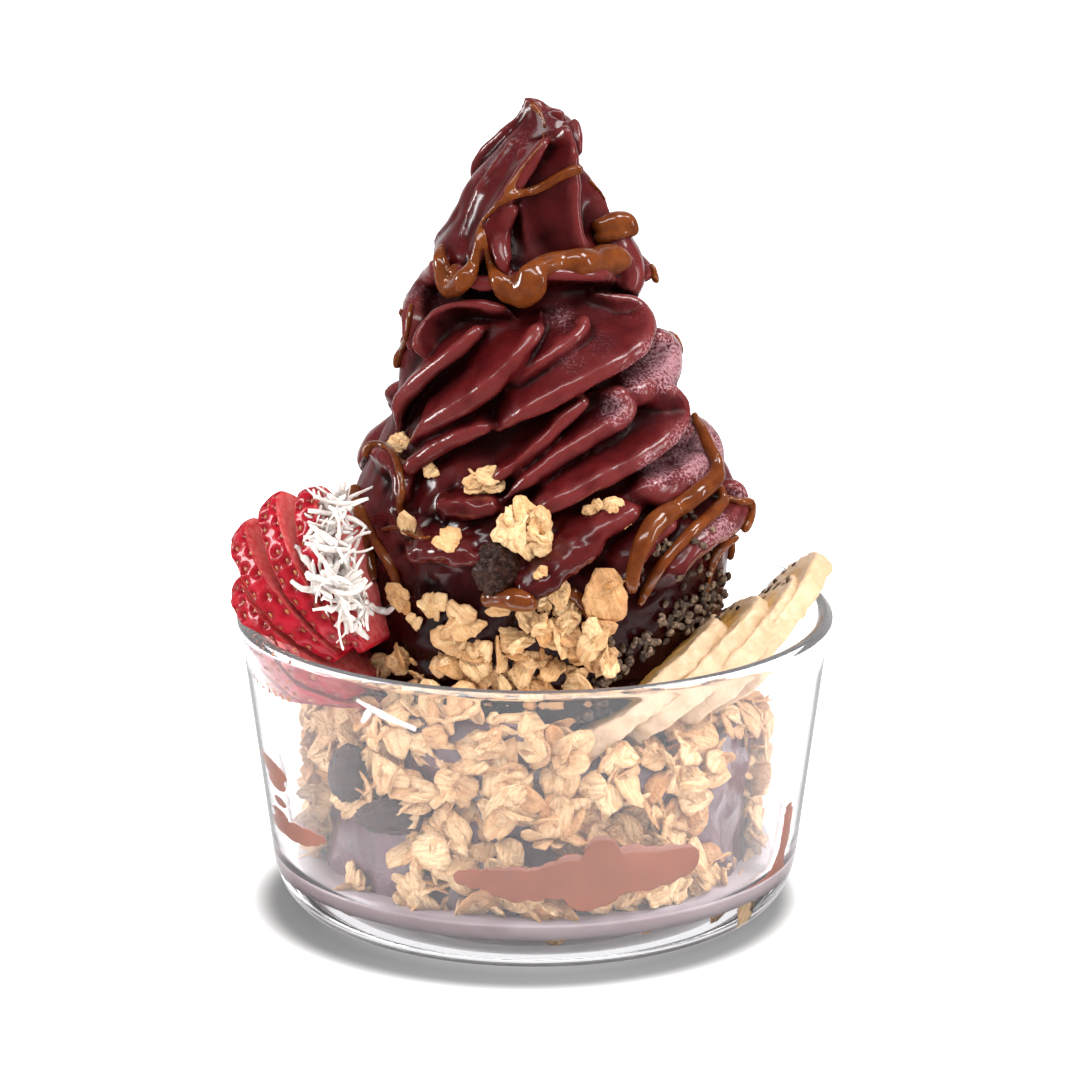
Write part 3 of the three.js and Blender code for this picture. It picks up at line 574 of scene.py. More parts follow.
# The ridges of the front: how far each stands out, how wide the hollow beside it is, the places in
# the view that its crest passes with the radius of its rolled lip, and how hollow its flank is.
ridges = [
    (4.4, 6.0, [(549, 121, 1.0), (545, 136, 1.4), (536, 152, 1.6), (522, 170, 1.8), (510, 188, 1.8),
                (499, 204, 1.8), (490, 218, 1.8), (482, 233, 1.8), (474, 250, 1.8), (462, 268, 1.8)], 2.2),
    (4.2, 2.0, [(518, 200, 1.2), (504, 212, 2.3), (497, 228, 2.6), (496, 246, 2.6), (503, 264, 2.4),
                (514, 280, 2.2)], 2.0),
    (5.0, 6.5, [(559, 108, 0.9), (566, 124, 1.3), (574, 142, 1.5), (576, 160, 1.6), (576, 180, 1.7),
                (577, 200, 1.7), (578, 220, 1.8), (583, 238, 2.0), (594, 252, 2.0), (606, 262, 1.6)], 2.4),
    (2.4, 2.0, [(572, 112, 1.0), (579, 122, 1.3), (580, 140, 1.4), (581, 162, 1.3)]),
    (1.6, 1.0, [(523, 101, 0.9), (532, 102, 1.2), (545, 104, 1.5), (558, 107, 1.6), (570, 114, 1.4)]),
    (4.0, 3.0, [(440, 262, 1.6), (470, 287, 1.8), (505, 285, 1.8), (545, 276, 1.8), (585, 277, 1.9),
                (618, 277, 1.9), (634, 283, 1.7), (640, 294, 1.3)]),
    (1.6, 1.5, [(440, 256, 2.0), (429, 273, 3.6), (419, 291, 4.4), (411, 312, 4.2), (406, 334, 3.2),
                (401, 352, 2.2)]),
    (5.0, 2.6, [(417, 362, 0.9), (413, 345, 1.2), (418, 327, 1.4), (431, 312, 1.5), (451, 305, 1.5),
                (476, 304, 1.4), (500, 308, 1.2), (520, 313, 0.8)]),
    (3.8, 5.0, [(486, 312, 1.0), (474, 328, 1.5), (457, 345, 1.7), (437, 361, 1.8), (415, 379, 1.9),
                (398, 396, 2.0), (387, 413, 2.0), (380, 430, 1.8)]),
    (5.0, 6.5, [(546, 304, 1.3), (538, 322, 1.8), (524, 344, 2.0), (508, 366, 2.2), (489, 384, 2.4),
                (464, 401, 2.5), (438, 415, 2.4), (412, 428, 2.2), (390, 440, 1.6)]),
    (3.2, 5.0, [(575, 306, 1.0), (586, 318, 1.6), (580, 332, 1.6), (562, 346, 1.6), (540, 362, 1.6),
                (518, 378, 1.5), (500, 392, 1.0)]),
    (5.4, 8.0, [(610, 290, 1.0), (632, 294, 1.6), (649, 306, 2.0), (654, 323, 2.2), (646, 341, 2.3),
                (628, 357, 2.3), (604, 370, 2.3), (580, 382, 2.3), (556, 395, 2.3), (532, 408, 2.2),
                (510, 420, 2.0), (488, 432, 1.4)]),
    (4.2, 4.5, [(650, 334, 1.2), (672, 336, 3.2), (681, 350, 4.8), (677, 368, 5.2), (664, 382, 4.6),
                (642, 391, 3.0), (618, 392, 1.6)]),
    (4.4, 3.5, [(600, 388, 1.2), (622, 393, 2.4), (632, 405, 2.8), (624, 418, 2.8), (602, 431, 2.6),
                (578, 444, 2.4), (556, 458, 2.2), (536, 472, 2.0), (516, 484, 1.6), (498, 494, 1.2)]),
    (3.6, 4.0, [(598, 390, 1.0), (582, 405, 1.4), (563, 421, 1.5), (547, 437, 1.6), (530, 452, 1.7),
                (513, 464, 1.7), (496, 474, 1.6), (480, 483, 1.2)]),
    (5.4, 7.5, [(648, 384, 1.0), (670, 386, 1.6), (686, 397, 2.1), (690, 413, 2.3), (680, 430, 2.4),
                (660, 446, 2.4), (637, 459, 2.4), (614, 470, 2.4), (592, 481, 2.3), (568, 493, 2.2),
                (544, 506, 2.0), (522, 520, 1.6)]),
    (4.4, 5.0, [(672, 428, 1.2), (700, 424, 3.0), (719, 436, 4.8), (718, 455, 5.6), (702, 470, 5.4),
                (678, 481, 4.4), (652, 487, 3.0), (628, 490, 1.6)]),
    (3.6, 5.0, [(497, 424, 1.0), (474, 430, 1.7), (450, 438, 1.9), (428, 449, 2.0), (408, 462, 1.8),
                (392, 478, 1.4)]),
    (4.6, 5.0, [(722, 478, 1.6), (742, 486, 3.2), (749, 500, 4.0), (741, 516, 3.8), (722, 529, 3.2),
                (704, 544, 3.0), (690, 560, 2.6), (676, 580, 2.4), (664, 602, 2.0)]),
    (4.2, 6.0, [(655, 500, 1.4), (634, 512, 2.3), (612, 524, 2.6), (594, 540, 2.7), (580, 556, 2.7),
                (562, 572, 2.6), (542, 587, 2.5), (520, 600, 2.4), (496, 612, 2.0)]),
    (3.6, 4.0, [(690, 512, 1.2), (668, 528, 2.0), (650, 546, 2.4), (638, 566, 2.5), (626, 588, 2.6),
                (612, 610, 2.5), (598, 634, 2.4), (586, 656, 2.0)]),
    (3.2, 3.5, [(360, 446, 1.4), (376, 452, 2.2), (392, 466, 2.4), (396, 486, 2.2), (388, 506, 2.0)]),
    (3.4, 4.0, [(486, 560, 1.4), (462, 556, 2.4), (436, 554, 2.6), (410, 552, 2.4), (390, 550, 1.6)]),
    (3.0, 4.0, [(500, 506, 1.2), (474, 506, 2.2), (448, 504, 2.4), (424, 506, 2.0)]),
]  # fmt: skip


view_step = 2.0


def ridge(rise, hollow, knots, curve=1.15):
    """A ridge with a rolled lip: a hollow flank on one side, a steep overhung drop on the other."""
    # Smoothing the skin over all the ridges lowers them again.
    rise = 1.2 * rise + 0.9
    crest_level = surface(*loft(body_rings(rise)))
    line = through(knots, view_step)
    found = [touched(u, v, crest_level) for u, v, _ in line]
    out = eased_over(np.array([f[1] for f in found]), 5)
    out /= np.linalg.norm(out, axis=1)[:, None]
    at = eased_over(np.array([f[0] for f in found]), 3) - rise * out
    ahead = np.gradient(at, axis=0)
    ahead /= np.linalg.norm(ahead, axis=1)[:, None]
    steep = eased_over(np.cross(out, ahead), 2)
    steep /= np.linalg.norm(steep, axis=1)[:, None]
    # It runs out low and narrow at both ends.
    share = np.linspace(0, 1, len(line))
    ends = smooth_step(0, 0.12, share) * smooth_step(1, 0.82, share)
    # Its section goes up the flank, over the lip and under it, and back inside the body.
    lip_arc = np.radians(np.linspace(116, -75, 12))
    climb = np.linspace(0, 1, 8)[:-1]
    rings = []
    for k in range(len(line)):
        r = line[k, 2] * (0.5 + 0.5 * ends[k])
        high = max(r * 1.1, rise * (0.35 + 0.65 * ends[k]))
        lip = np.column_stack([r * np.cos(lip_arc), high - r + r * np.sin(lip_arc)])
        foot = -1.35 * hollow * (0.3 + 0.7 * ends[k])
        flank = np.column_stack(
            [foot + (lip[0, 0] - foot) * climb, -0.8 + (lip[0, 1] + 0.8) * climb**curve]
        )
        section = np.concatenate([flank, lip, [[0, -2.5], [foot, -2.8]]])
        rings.append(at[k] + section[:, :1] * steep[k] + section[:, 1:] * out[k])
    return loft(rings)


# The fold that stands out behind the peak on its right: its middle and its half thickness.
back_fold = through(
    [[5.5, 3, 158, 2], [8.5, 3.5, 152.5, 3.6], [12.4, 4, 147, 4.8], [16, 3, 142, 5.4],
     [18.4, 1, 137.5, 5.4], [18, -2, 133, 4]], 1.0
)  # fmt: skip
swirl_shells = [
    loft(drawn_in(coil_rings(per_turn=200, side=128))),
    loft(drawn_in(peak_rings(rows=120, side=168))),
    loft(core_rings),
    loft(body_rings()),
    loft(tube(back_fold[:, :3], np.tile([0, -1.0, 0], (len(back_fold), 1)), back_fold[:, 3])),
    *(ridge(*shape) for shape in ridges),
]
# One skin over them all, on a fine grid, and thinned if it has more than most_triangles triangles.
swirl_grid = 0.58
most_triangles = 196000
swirl_points, swirl_faces = worked(
    *together(swirl_shells),
    ("REMESH", {"mode": "VOXEL", "voxel_size": swirl_grid}),
    ("SMOOTH", {"factor": 0.5, "iterations": 2}),
)
if len(swirl_faces) > most_triangles:
    swirl_points, swirl_faces = worked(
        swirl_points, swirl_faces, ("DECIMATE", {"ratio": most_triangles / len(swirl_faces)})
    )

# Lower down the front the soft serve has melted: its ridges sag there into wet folds.
melt = smooth_step(103, 88, swirl_points[:, 2] + 0.28 * swirl_points[:, 0])
melt *= smooth_step(-10, -25, swirl_points[:, 1])
swirl_edges = edges_of(swirl_faces)
swirl_normals = normals_of(swirl_points, swirl_faces)
for _ in range(4):
    swirl_points += 0.55 * melt[:, None] * (neighbour_mean(swirl_points, swirl_edges) - swirl_points)
# Nowhere is it quite even, and least where it has melted.
swell = 0.25 * lumps(swirl_points, 14, 3) + (0.12 + 0.4 * melt) * lumps(swirl_points, 7, 4)
swirl_points += swell[:, None] * swirl_normals
# The tip is pressed down to the real height.
tip_from, tip_height = 166.0, 175.2
above = np.maximum(0, swirl_points[:, 2] - tip_from)
swirl_points[:, 2] -= above * (1 - (tip_height - tip_from) / above.max())

# How far each point stands out of its near and its wide surroundings: above 0 on a lip, below 0 in
# a flute.
near_rounds, wide_rounds = 14, 60
soft = swirl_points.copy()
for _ in range(near_rounds):
    soft = neighbour_mean(soft, swirl_edges)
softer = soft.copy()
for _ in range(wide_rounds):
    softer = neighbour_mean(softer, swirl_edges)
swirl_normals = normals_of(swirl_points, swirl_faces)
stands_out = np.einsum("ij,ij->i", swirl_points - soft, swirl_normals)
stands_wide = np.einsum("ij,ij->i", swirl_points - softer, swirl_normals)
lip = smooth_step(0.10, 0.50, stands_out)
# Painted shade: the flutes and the wide hollows are marked to be painted darker.
crease_shade = np.maximum(smooth_step(-0.05, -0.5, stands_out), 0.85 * smooth_step(-0.15, -1.3, stands_wide))
# The peak is a little wet too.
melt = np.maximum(melt, 0.55 * smooth_step(138, 146, swirl_points[:, 2]))

# Painted shade in the clefts: how many ways out of each point of the front another fold blocks.
swirl_tree = surface(swirl_points, swirl_faces)
front_from, off_skin = 12, 0.15
ways, cleft_reach = 22, 15.0
slope = np.arccos(1 - (2 * np.arange(ways) + 1) / ways)
spin = math.pi * (1 + 5**0.5) * np.arange(ways)
ways_out = np.column_stack([np.cos(spin) * np.sin(slope), np.sin(spin) * np.sin(slope), np.cos(slope)])
blocked = np.zeros(len(swirl_points))
for i in np.flatnonzero(swirl_points[:, 1] < front_from):
    facing_out = ways_out @ swirl_normals[i]
    start = Vector(swirl_points[i] + off_skin * swirl_normals[i])
    for j in np.flatnonzero(facing_out > 0.15):
        if swirl_tree.ray_cast(start, ways_out[j], cleft_reach)[0] is not None:
            blocked[i] += 1
for _ in range(3):
    blocked = neighbour_mean(blocked[:, None], swirl_edges)[:, 0]
crease_shade = np.maximum(crease_shade, smooth_step(0.085 * ways, 0.27 * ways, blocked))
# Painted shade at the foot of the front, nearly black like the gaps among the oats below it.
foot_shade = 0.9 * smooth_step(86, 76, swirl_points[:, 2]) * smooth_step(-5, -20, swirl_points[:, 1])
crease_shade = np.maximum(crease_shade, foot_shade)

# Where frost lies thick on the front: place in the view, radius and strength. The thickest lies on
# the lobes on the right, where its pale grains and haze are also painted light. Towards the back a
# little of it lies on what faces up, which paints those tops lighter.
frosted_and_lit = [
    (668, 362, 30, 1.0), (636, 378, 17, 0.7), (698, 452, 32, 1.0), (658, 470, 20, 0.8),
    (616, 408, 18, 0.75), (592, 428, 14, 0.2), (600, 344, 22, 0.2), (572, 362, 18, 0.25),
    (562, 318, 16, 0.45), (544, 334, 12, 0.2), (604, 446, 18, 0.12), (572, 464, 18, 0.12),
    (720, 530, 20, 0.8), (742, 492, 16, 0.5), (400, 384, 12, 0.3), (372, 440, 12, 0.5),
    (618, 200, 14, 0.4),
]  # fmt: skip
from_eye = swirl_points - eye
depth_there = from_eye @ view_ahead
place_u = view_half + view_distance * from_eye[:, 0] / depth_there
place_v = view_half - view_distance * (from_eye @ view_up) / depth_there
frost_and_light_mark = 0.35 * smooth_step(0.2, 0.9, swirl_normals[:, 2]) * smooth_step(-25, 0, swirl_points[:, 1])
for u, v, r, strength in frosted_and_lit:
    near = np.exp(-(((place_u - u) ** 2 + (place_v - v) ** 2) / r**2) ** 1.5)
    frost_and_light_mark = np.maximum(frost_and_light_mark, strength * near * smooth_step(9, -6, swirl_points[:, 1]))
# Where frost lies, the painted shade is weaker.
crease_shade *= 1 - 0.6 * frost_and_light_mark


def shader_group(name, inputs, outputs):
    """A new node group: its tree, and the nodes that hold its inputs and its outputs."""
    tree = bpy.data.node_groups.new(name, "ShaderNodeTree")
    kinds = {"value": "NodeSocketFloat", "colour": "NodeSocketColor"}
    for label, kind, value in inputs:
        tree.interface.new_socket(label, in_out="INPUT", socket_type=kinds[kind]).default_value = value
    for label, kind in outputs:
        tree.interface.new_socket(label, in_out="OUTPUT", socket_type=kinds[kind])
    return tree, tree.nodes.new("NodeGroupInput").outputs, tree.nodes.new("NodeGroupOutput").inputs


def mixed(tree, share, a, b):
    """The socket of colour a with share of colour b in it."""
    # For colours the Mix node's inputs are 0, 6 and 7, and its output is 2.
    return node(tree, "ShaderNodeMix", {0: share, 6: a, 7: b}, data_type="RGBA").outputs[2]


def between(tree, value, low, high, to_low=0.0, to_high=1.0):
    """The socket of a value spread from low..high to to_low..to_high."""
    made = node(
        tree,
        "ShaderNodeMapRange",
        {"Value": value, "From Min": low, "From Max": high, "To Min": to_low, "To Max": to_high},
        interpolation_type="SMOOTHSTEP",
    )
    return made.outputs[0]


def sums(tree, a, b, operation="ADD"):
    """The socket of two values added, or joined by another operation."""
    return node(tree, "ShaderNodeMath", {0: a, 1: b}, operation=operation).outputs[0]


# Mottle: two colours in soft patches of a given size, in millimetres.
mottle, inside, out = shader_group(
    "mottle",
    [
        ("Dark", "colour", (0, 0, 0, 1)),
        ("Light", "colour", (1, 1, 1, 1)),
        ("Size", "value", 3.0),
    ],
    [("Color", "colour"), ("Mask", "value")],
)
where = node(mottle, "ShaderNodeTexCoord")
frequency = node(mottle, "ShaderNodeMath", {0: 1 / MM, 1: inside["Size"]}, operation="DIVIDE")
cloud = node(
    mottle,
    "ShaderNodeTexNoise",
    {"Vector": where.outputs["Object"], "Scale": frequency.outputs[0], "Detail": 4.0, "Roughness": 0.6},
)
mask = between(mottle, cloud.outputs["Fac"], 0.3, 0.7)
mottle.links.new(mask, out["Mask"])
mottle.links.new(mixed(mottle, mask, inside["Dark"], inside["Light"]), out["Color"])

# Grain: the height of fine rough relief, as wide as Size in millimetres.
grain, inside, out = shader_group(
    "grain",
    [("Size", "value", 0.7), ("Pits", "value", 0.3)],
    [("Height", "value")],
)
where = node(grain, "ShaderNodeTexCoord")
frequency = node(grain, "ShaderNodeMath", {0: 1 / MM, 1: inside["Size"]}, operation="DIVIDE")
cloud = node(
    grain,
    "ShaderNodeTexNoise",
    {"Vector": where.outputs["Object"], "Scale": frequency.outputs[0], "Detail": 3.0, "Roughness": 0.65},
)
cells = node(
    grain,
    "ShaderNodeTexVoronoi",
    {"Vector": where.outputs["Object"], "Scale": frequency.outputs[0]},
)
pits = sums(grain, cells.outputs["Distance"], inside["Pits"], "MULTIPLY")
grain.links.new(sums(grain, cloud.outputs["Fac"], pits), out["Height"])


def placed(tree, group, **inputs):
    """The outputs of the group's node in a material, with its values there."""
    return node(tree, "ShaderNodeGroup", inputs, node_tree=group).outputs


def marked(tree, label):
    """The socket of a mark laid down on the mesh's points."""
    return node(tree, "ShaderNodeAttribute", attribute_name=label).outputs["Fac"]


def bumped(tree, shader, height, distance, strength=1.0):
    """Relief of that height, in millimetres for a height of 1."""
    made = node(
        tree,
        "ShaderNodeBump",
        {"Height": height, "Distance": distance * MM, "Strength": strength},
    )
    tree.links.new(made.outputs[0], shader.inputs["Normal"])
    return made


acai, tree, shader = finish(
    "acai_soft_serve",
    IOR=1.4,
    Specular_IOR_Level=0.11,
    Coat_Roughness=0.18,
    Coat_IOR=1.4,
)
on_lip, in_crease_shade, wet = marked(tree, "lip"), marked(tree, "crease_shade"), marked(tree, "melt")
icy_and_lit = marked(tree, "frost_and_light")
skin = placed(tree, mottle, Dark=(0.044, 0.0024, 0.0034, 1), Light=(0.074, 0.0048, 0.0052, 1), Size=5.0)
# Painted light: the lips are lighter and redder than the flutes, as where light catches the crests.
colour = mixed(tree, on_lip, skin["Color"], (0.115, 0.0150, 0.0145, 1))
# Frost: pale grains less than a millimetre wide, closer together where it lies thick, and a pale
# haze over them: frost, and also painted light where the lobes are lit.
grains = placed(tree, mottle, Size=0.6)["Mask"]
showing = between(tree, sums(tree, grains, sums(tree, icy_and_lit, 0.75, "MULTIPLY")), 0.75, 1.35)
showing = sums(tree, showing, between(tree, icy_and_lit, 0.05, 0.5), "MULTIPLY")
colour = mixed(tree, sums(tree, showing, 0.7, "MULTIPLY"), colour, (0.41, 0.225, 0.250, 1))
colour = mixed(tree, sums(tree, icy_and_lit, 0.16, "MULTIPLY"), colour, (0.22, 0.088, 0.104, 1))
colour = mixed(tree, sums(tree, wet, 0.6, "MULTIPLY"), colour, (0.040, 0.0028, 0.0032, 1))
# Painted shade: the creases, the clefts and the foot of the front go nearly black.
colour = mixed(tree, sums(tree, in_crease_shade, 0.93, "MULTIPLY"), colour, (0.0055, 0.0003, 0.0004, 1))
tree.links.new(colour, shader.inputs["Base Color"])
dry = sums(tree, 1.0, sums(tree, on_lip, wet, "MAXIMUM"), "SUBTRACT")
tree.links.new(between(tree, dry, 0.0, 1.0, 0.24, 0.40), shader.inputs["Roughness"])
gloss = between(tree, dry, 0.2, 1.0, 0.95, 0.05)
gloss = sums(tree, gloss, between(tree, in_crease_shade, 0, 1, 1, 0.1), "MULTIPLY")
tree.links.new(gloss, shader.inputs["Coat Weight"])
relief = placed(tree, grain, Size=0.75, Pits=0.5)["Height"]
relief = sums(tree, relief, between(tree, dry, 0.1, 1.0, 0.02, 0.45), "MULTIPLY")
relief = sums(tree, relief, between(tree, icy_and_lit, 0.1, 0.9, 0.4, 2.2), "MULTIPLY")
bumped(tree, shader, relief, 0.35)

lay(
    "acai_swirl_soft_serve",
    swirl_points,
    swirl_faces,
    acai,
    "acai",
    ["acai_swirl"],
    {"lip": lip, "crease_shade": crease_shade, "melt": melt, "frost_and_light": frost_and_light_mark},
)

# ---------------------------------------------------------------------------------------------
# The drizzle: warm chocolate hazelnut spread run over the swirl in ropes that loop, pool and
# hang. Each rope follows the soft serve under it, and where two meet they have flowed together.
# ---------------------------------------------------------------------------------------------
# Each strand: how far its middle stands out of the acai as a share of its half thickness, then
# the places in the view that it passes with its half thickness there, in units of the view.
strands = [
    (0.5, [(529, 102, 4), (538, 110, 4), (543, 120, 3), (545, 130, 2.6)]),
    (0.4, [(545, 130, 2), (541, 145, 2), (530, 158, 2.4), (519, 173, 3), (510, 188, 4), (504, 197, 4)]),
    (0.9, [(583, 169, 5.8), (575, 170, 5.6), (562, 176, 5), (548, 184, 4.8), (532, 191, 4.8), (515, 194, 5),
           (502, 202, 4), (492, 212, 3.2), (484, 222, 3), (480, 232, 3.2), (478, 246, 4), (475, 262, 6),
           (469, 276, 9), (460, 284, 12), (450, 282, 12), (443, 270, 10), (441, 256, 7), (446, 244, 4)]),
    (0.3, [(455, 262, 9), (459, 268, 12), (458, 276, 12)]),
    (0.5, [(483, 226, 2.4), (485, 240, 3), (487, 254, 4), (492, 269, 6), (500, 282, 10), (511, 289, 14),
           (523, 286, 19), (535, 279, 17), (542, 268, 10)]),
    (0.7, [(518, 284, 12), (530, 272, 12), (546, 265, 12), (568, 263, 13), (588, 262, 14.5), (607, 260, 17),
           (621, 261, 15), (630, 265, 9)]),
    (0.6, [(588, 230, 6), (601, 226, 8.5), (615, 222, 10.5), (629, 222, 10.5), (640, 227, 8),
           (646, 232, 5)]),
    (0.5, [(592, 240, 6), (608, 237, 6), (628, 232, 6), (644, 231, 6)]),
    (0.5, [(649, 262, 3), (654, 273, 4), (659, 284, 5.5), (661, 293, 5.5)]),
    (0.5, [(586, 178, 2.4), (594, 186, 2.6), (601, 194, 2.4), (606, 203, 2)]),
    (0.6, [(413, 302, 3), (410, 315, 3.6), (408, 330, 3), (405, 345, 3.6), (398, 360, 5), (394, 371, 5)]),
    (0.6, [(403, 306, 3), (400, 322, 2.4), (401, 338, 2.6), (404, 346, 3)]),
    (0.7, [(668, 318, 3), (680, 326, 4), (688, 338, 4.4), (691, 352, 4), (692, 366, 3.4), (695, 382, 3)]),
    (0.7, [(699, 411, 3.4), (713, 420, 5), (725, 435, 6.4), (731, 451, 7), (729, 464, 8), (717, 474, 9.5),
           (702, 486, 10), (686, 498, 10), (670, 511, 10), (655, 527, 10.5), (644, 544, 10.5),
           (636, 561, 9), (631, 578, 8), (630, 594, 6)]),
    (0.4, [(731, 484, 4), (725, 500, 6), (711, 516, 7.5), (696, 529, 7.5), (682, 543, 6.5), (668, 558, 6),
           (655, 575, 6), (645, 592, 5.5), (638, 608, 4)]),
    (0.7, [(722, 497, 4), (738, 503, 4.4), (751, 502, 4.6), (757, 511, 4.6), (756, 526, 5), (758, 541, 5),
           (761, 554, 4)]),
    (0.5, [(738, 532, 4), (733, 548, 5), (731, 562, 5), (729, 576, 3.6)]),
    (0.5, [(748, 535, 4), (746, 550, 5), (744, 563, 4)]),
    (0.5, [(722, 542, 3), (714, 560, 3.4), (708, 580, 3.2), (704, 600, 3)]),
    (0.6, [(346, 470, 5), (355, 455, 5), (370, 447, 5), (385, 447, 4.4), (395, 457, 4.4), (400, 474, 4.4),
           (402, 492, 4.2), (400, 507, 4.2), (407, 520, 4)]),
    (0.4, [(362, 505, 4.4), (366, 520, 5), (372, 534, 5.4), (380, 548, 5.4), (389, 562, 5.4), (396, 577, 5),
           (401, 594, 4.4)]),
    (0.3, [(352, 480, 6), (356, 498, 8), (362, 516, 8), (366, 536, 8), (370, 560, 8), (376, 584, 7)]),
    (0.4, [(380, 531, 3), (396, 527, 3.2), (409, 533, 3.4), (422, 539, 3), (434, 537, 2.6)]),
    (0.2, [(478, 600, 8), (500, 598, 10), (522, 600, 11), (538, 606, 9)]),
    (0.2, [(566, 588, 6), (580, 600, 8), (592, 612, 8), (598, 628, 6)]),
]  # fmt: skip

# Millimetres to one unit of the view on the front of the swirl.
view_unit = 0.214
# In millimetres: how far behind its middle a strand still lies on the front, how far off the skin
# it may be past the swirl's edge, and how deep a hollow it bridges.
round_the_edge, off_edge, bridge = 12, 0.2, 1.2


def strand(proud, knots):
    """A rope of spread on the swirl's front, round at its ends and uneven in its thickness."""
    line = through(knots, view_step)
    hits = [seen(u, v, swirl_tree) for u, v, _ in line]
    depths = np.array([np.linalg.norm(hit[0] - eye) if hit else math.inf for hit in hits])
    level = np.array([over_middle(u, v) for u, v, _ in line])
    known = []
    if any(hits):
        # Past the swirl's edge it goes on as far from the eye as it was, and not round the back.
        known = np.flatnonzero(depths < np.median(depths[depths < math.inf]) + round_the_edge)
        level = np.interp(np.arange(len(line)), known, depths[known])
    found = [
        hits[i] if i in known else beside(u, v, swirl_tree, level[i], off_edge)
        for i, (u, v, _) in enumerate(line)
    ]
    half = line[:, 2] * view_unit
    reach = max(2, int(half.mean() * 2.2))
    place = np.array([f[0] for f in found])
    toward = (eye - place) / np.linalg.norm(eye - place, axis=1)[:, None]
    away = np.linalg.norm(eye - place, axis=1)
    bridged = np.minimum(away, eased_over(away[:, None], 2 * reach)[:, 0] + 0.3)
    bridged = np.maximum(bridged, away - bridge)
    place = eased_over(place + (away - bridged)[:, None] * toward, reach)
    normal = np.array([f[1] for f in found]) + 0.8 * toward
    normal = eased_over(normal, 3 * reach)
    normal /= np.linalg.norm(normal, axis=1)[:, None]
    place += (proud * half)[:, None] * normal
    t = np.linspace(0, 1, len(place))
    swell = 1 + 0.06 * np.sin(9 * t + half) + 0.04 * np.sin(21 * t + 3 * half)
    from_end = np.minimum(t, 1 - t) * len(t) * view_step * view_unit
    end = np.minimum(1, np.sqrt(from_end / half + 0.02))
    return loft(tube(place, normal, half * swell * end))


drizzle_grid = 0.40
drizzle_points, drizzle_faces = worked(
    *together([strand(*s) for s in strands]),
    ("REMESH", {"mode": "VOXEL", "voxel_size": drizzle_grid}),
    ("SMOOTH", {"factor": 0.6, "iterations": 12}),
)

spread, tree, shader = finish(
    "hazelnut_spread",
    Roughness=0.3,
    IOR=1.45,
    Specular_IOR_Level=0.1,
    Coat_Weight=0.85,
    Coat_Roughness=0.05,
    Subsurface_Weight=0.1,
    Subsurface_Scale=0.002,
)
shader.inputs["Subsurface Radius"].default_value = (1.0, 0.4, 0.2)
flow = placed(tree, mottle, Dark=(0.084, 0.0170, 0.0030, 1), Light=(0.140, 0.033, 0.0058, 1), Size=4.0)
tree.links.new(flow["Color"], shader.inputs["Base Color"])
skin_height = placed(tree, grain, Size=3.0, Pits=0.0)["Height"]
bumped(tree, shader, skin_height, 0.04)
lay("drizzle", drizzle_points, drizzle_faces, spread)

# ---------------------------------------------------------------------------------------------
# The granola: rolled oats baked with syrup, loose and in clumps, packed between the acai and the
# glass and heaped up at the front. Each flake is a thin curled oval with a groove along it.
# ---------------------------------------------------------------------------------------------
granola_foot = 8.9
granola_core = 47.5
# Height of its top by direction, in degrees seen from above: 0 is right, 90 is the back.
granola_top = [
    [0, 46], [45, 48], [90, 50], [135, 50], [180, 50], [225, 55],
    [255, 56], [270, 55], [284, 49], [305, 45], [325, 46], [345, 47], [360, 46],
]  # fmt: skip
# Where a flake is broken off, as a share of its half length: past its tip, so not at all.
UNBROKEN = 2.0


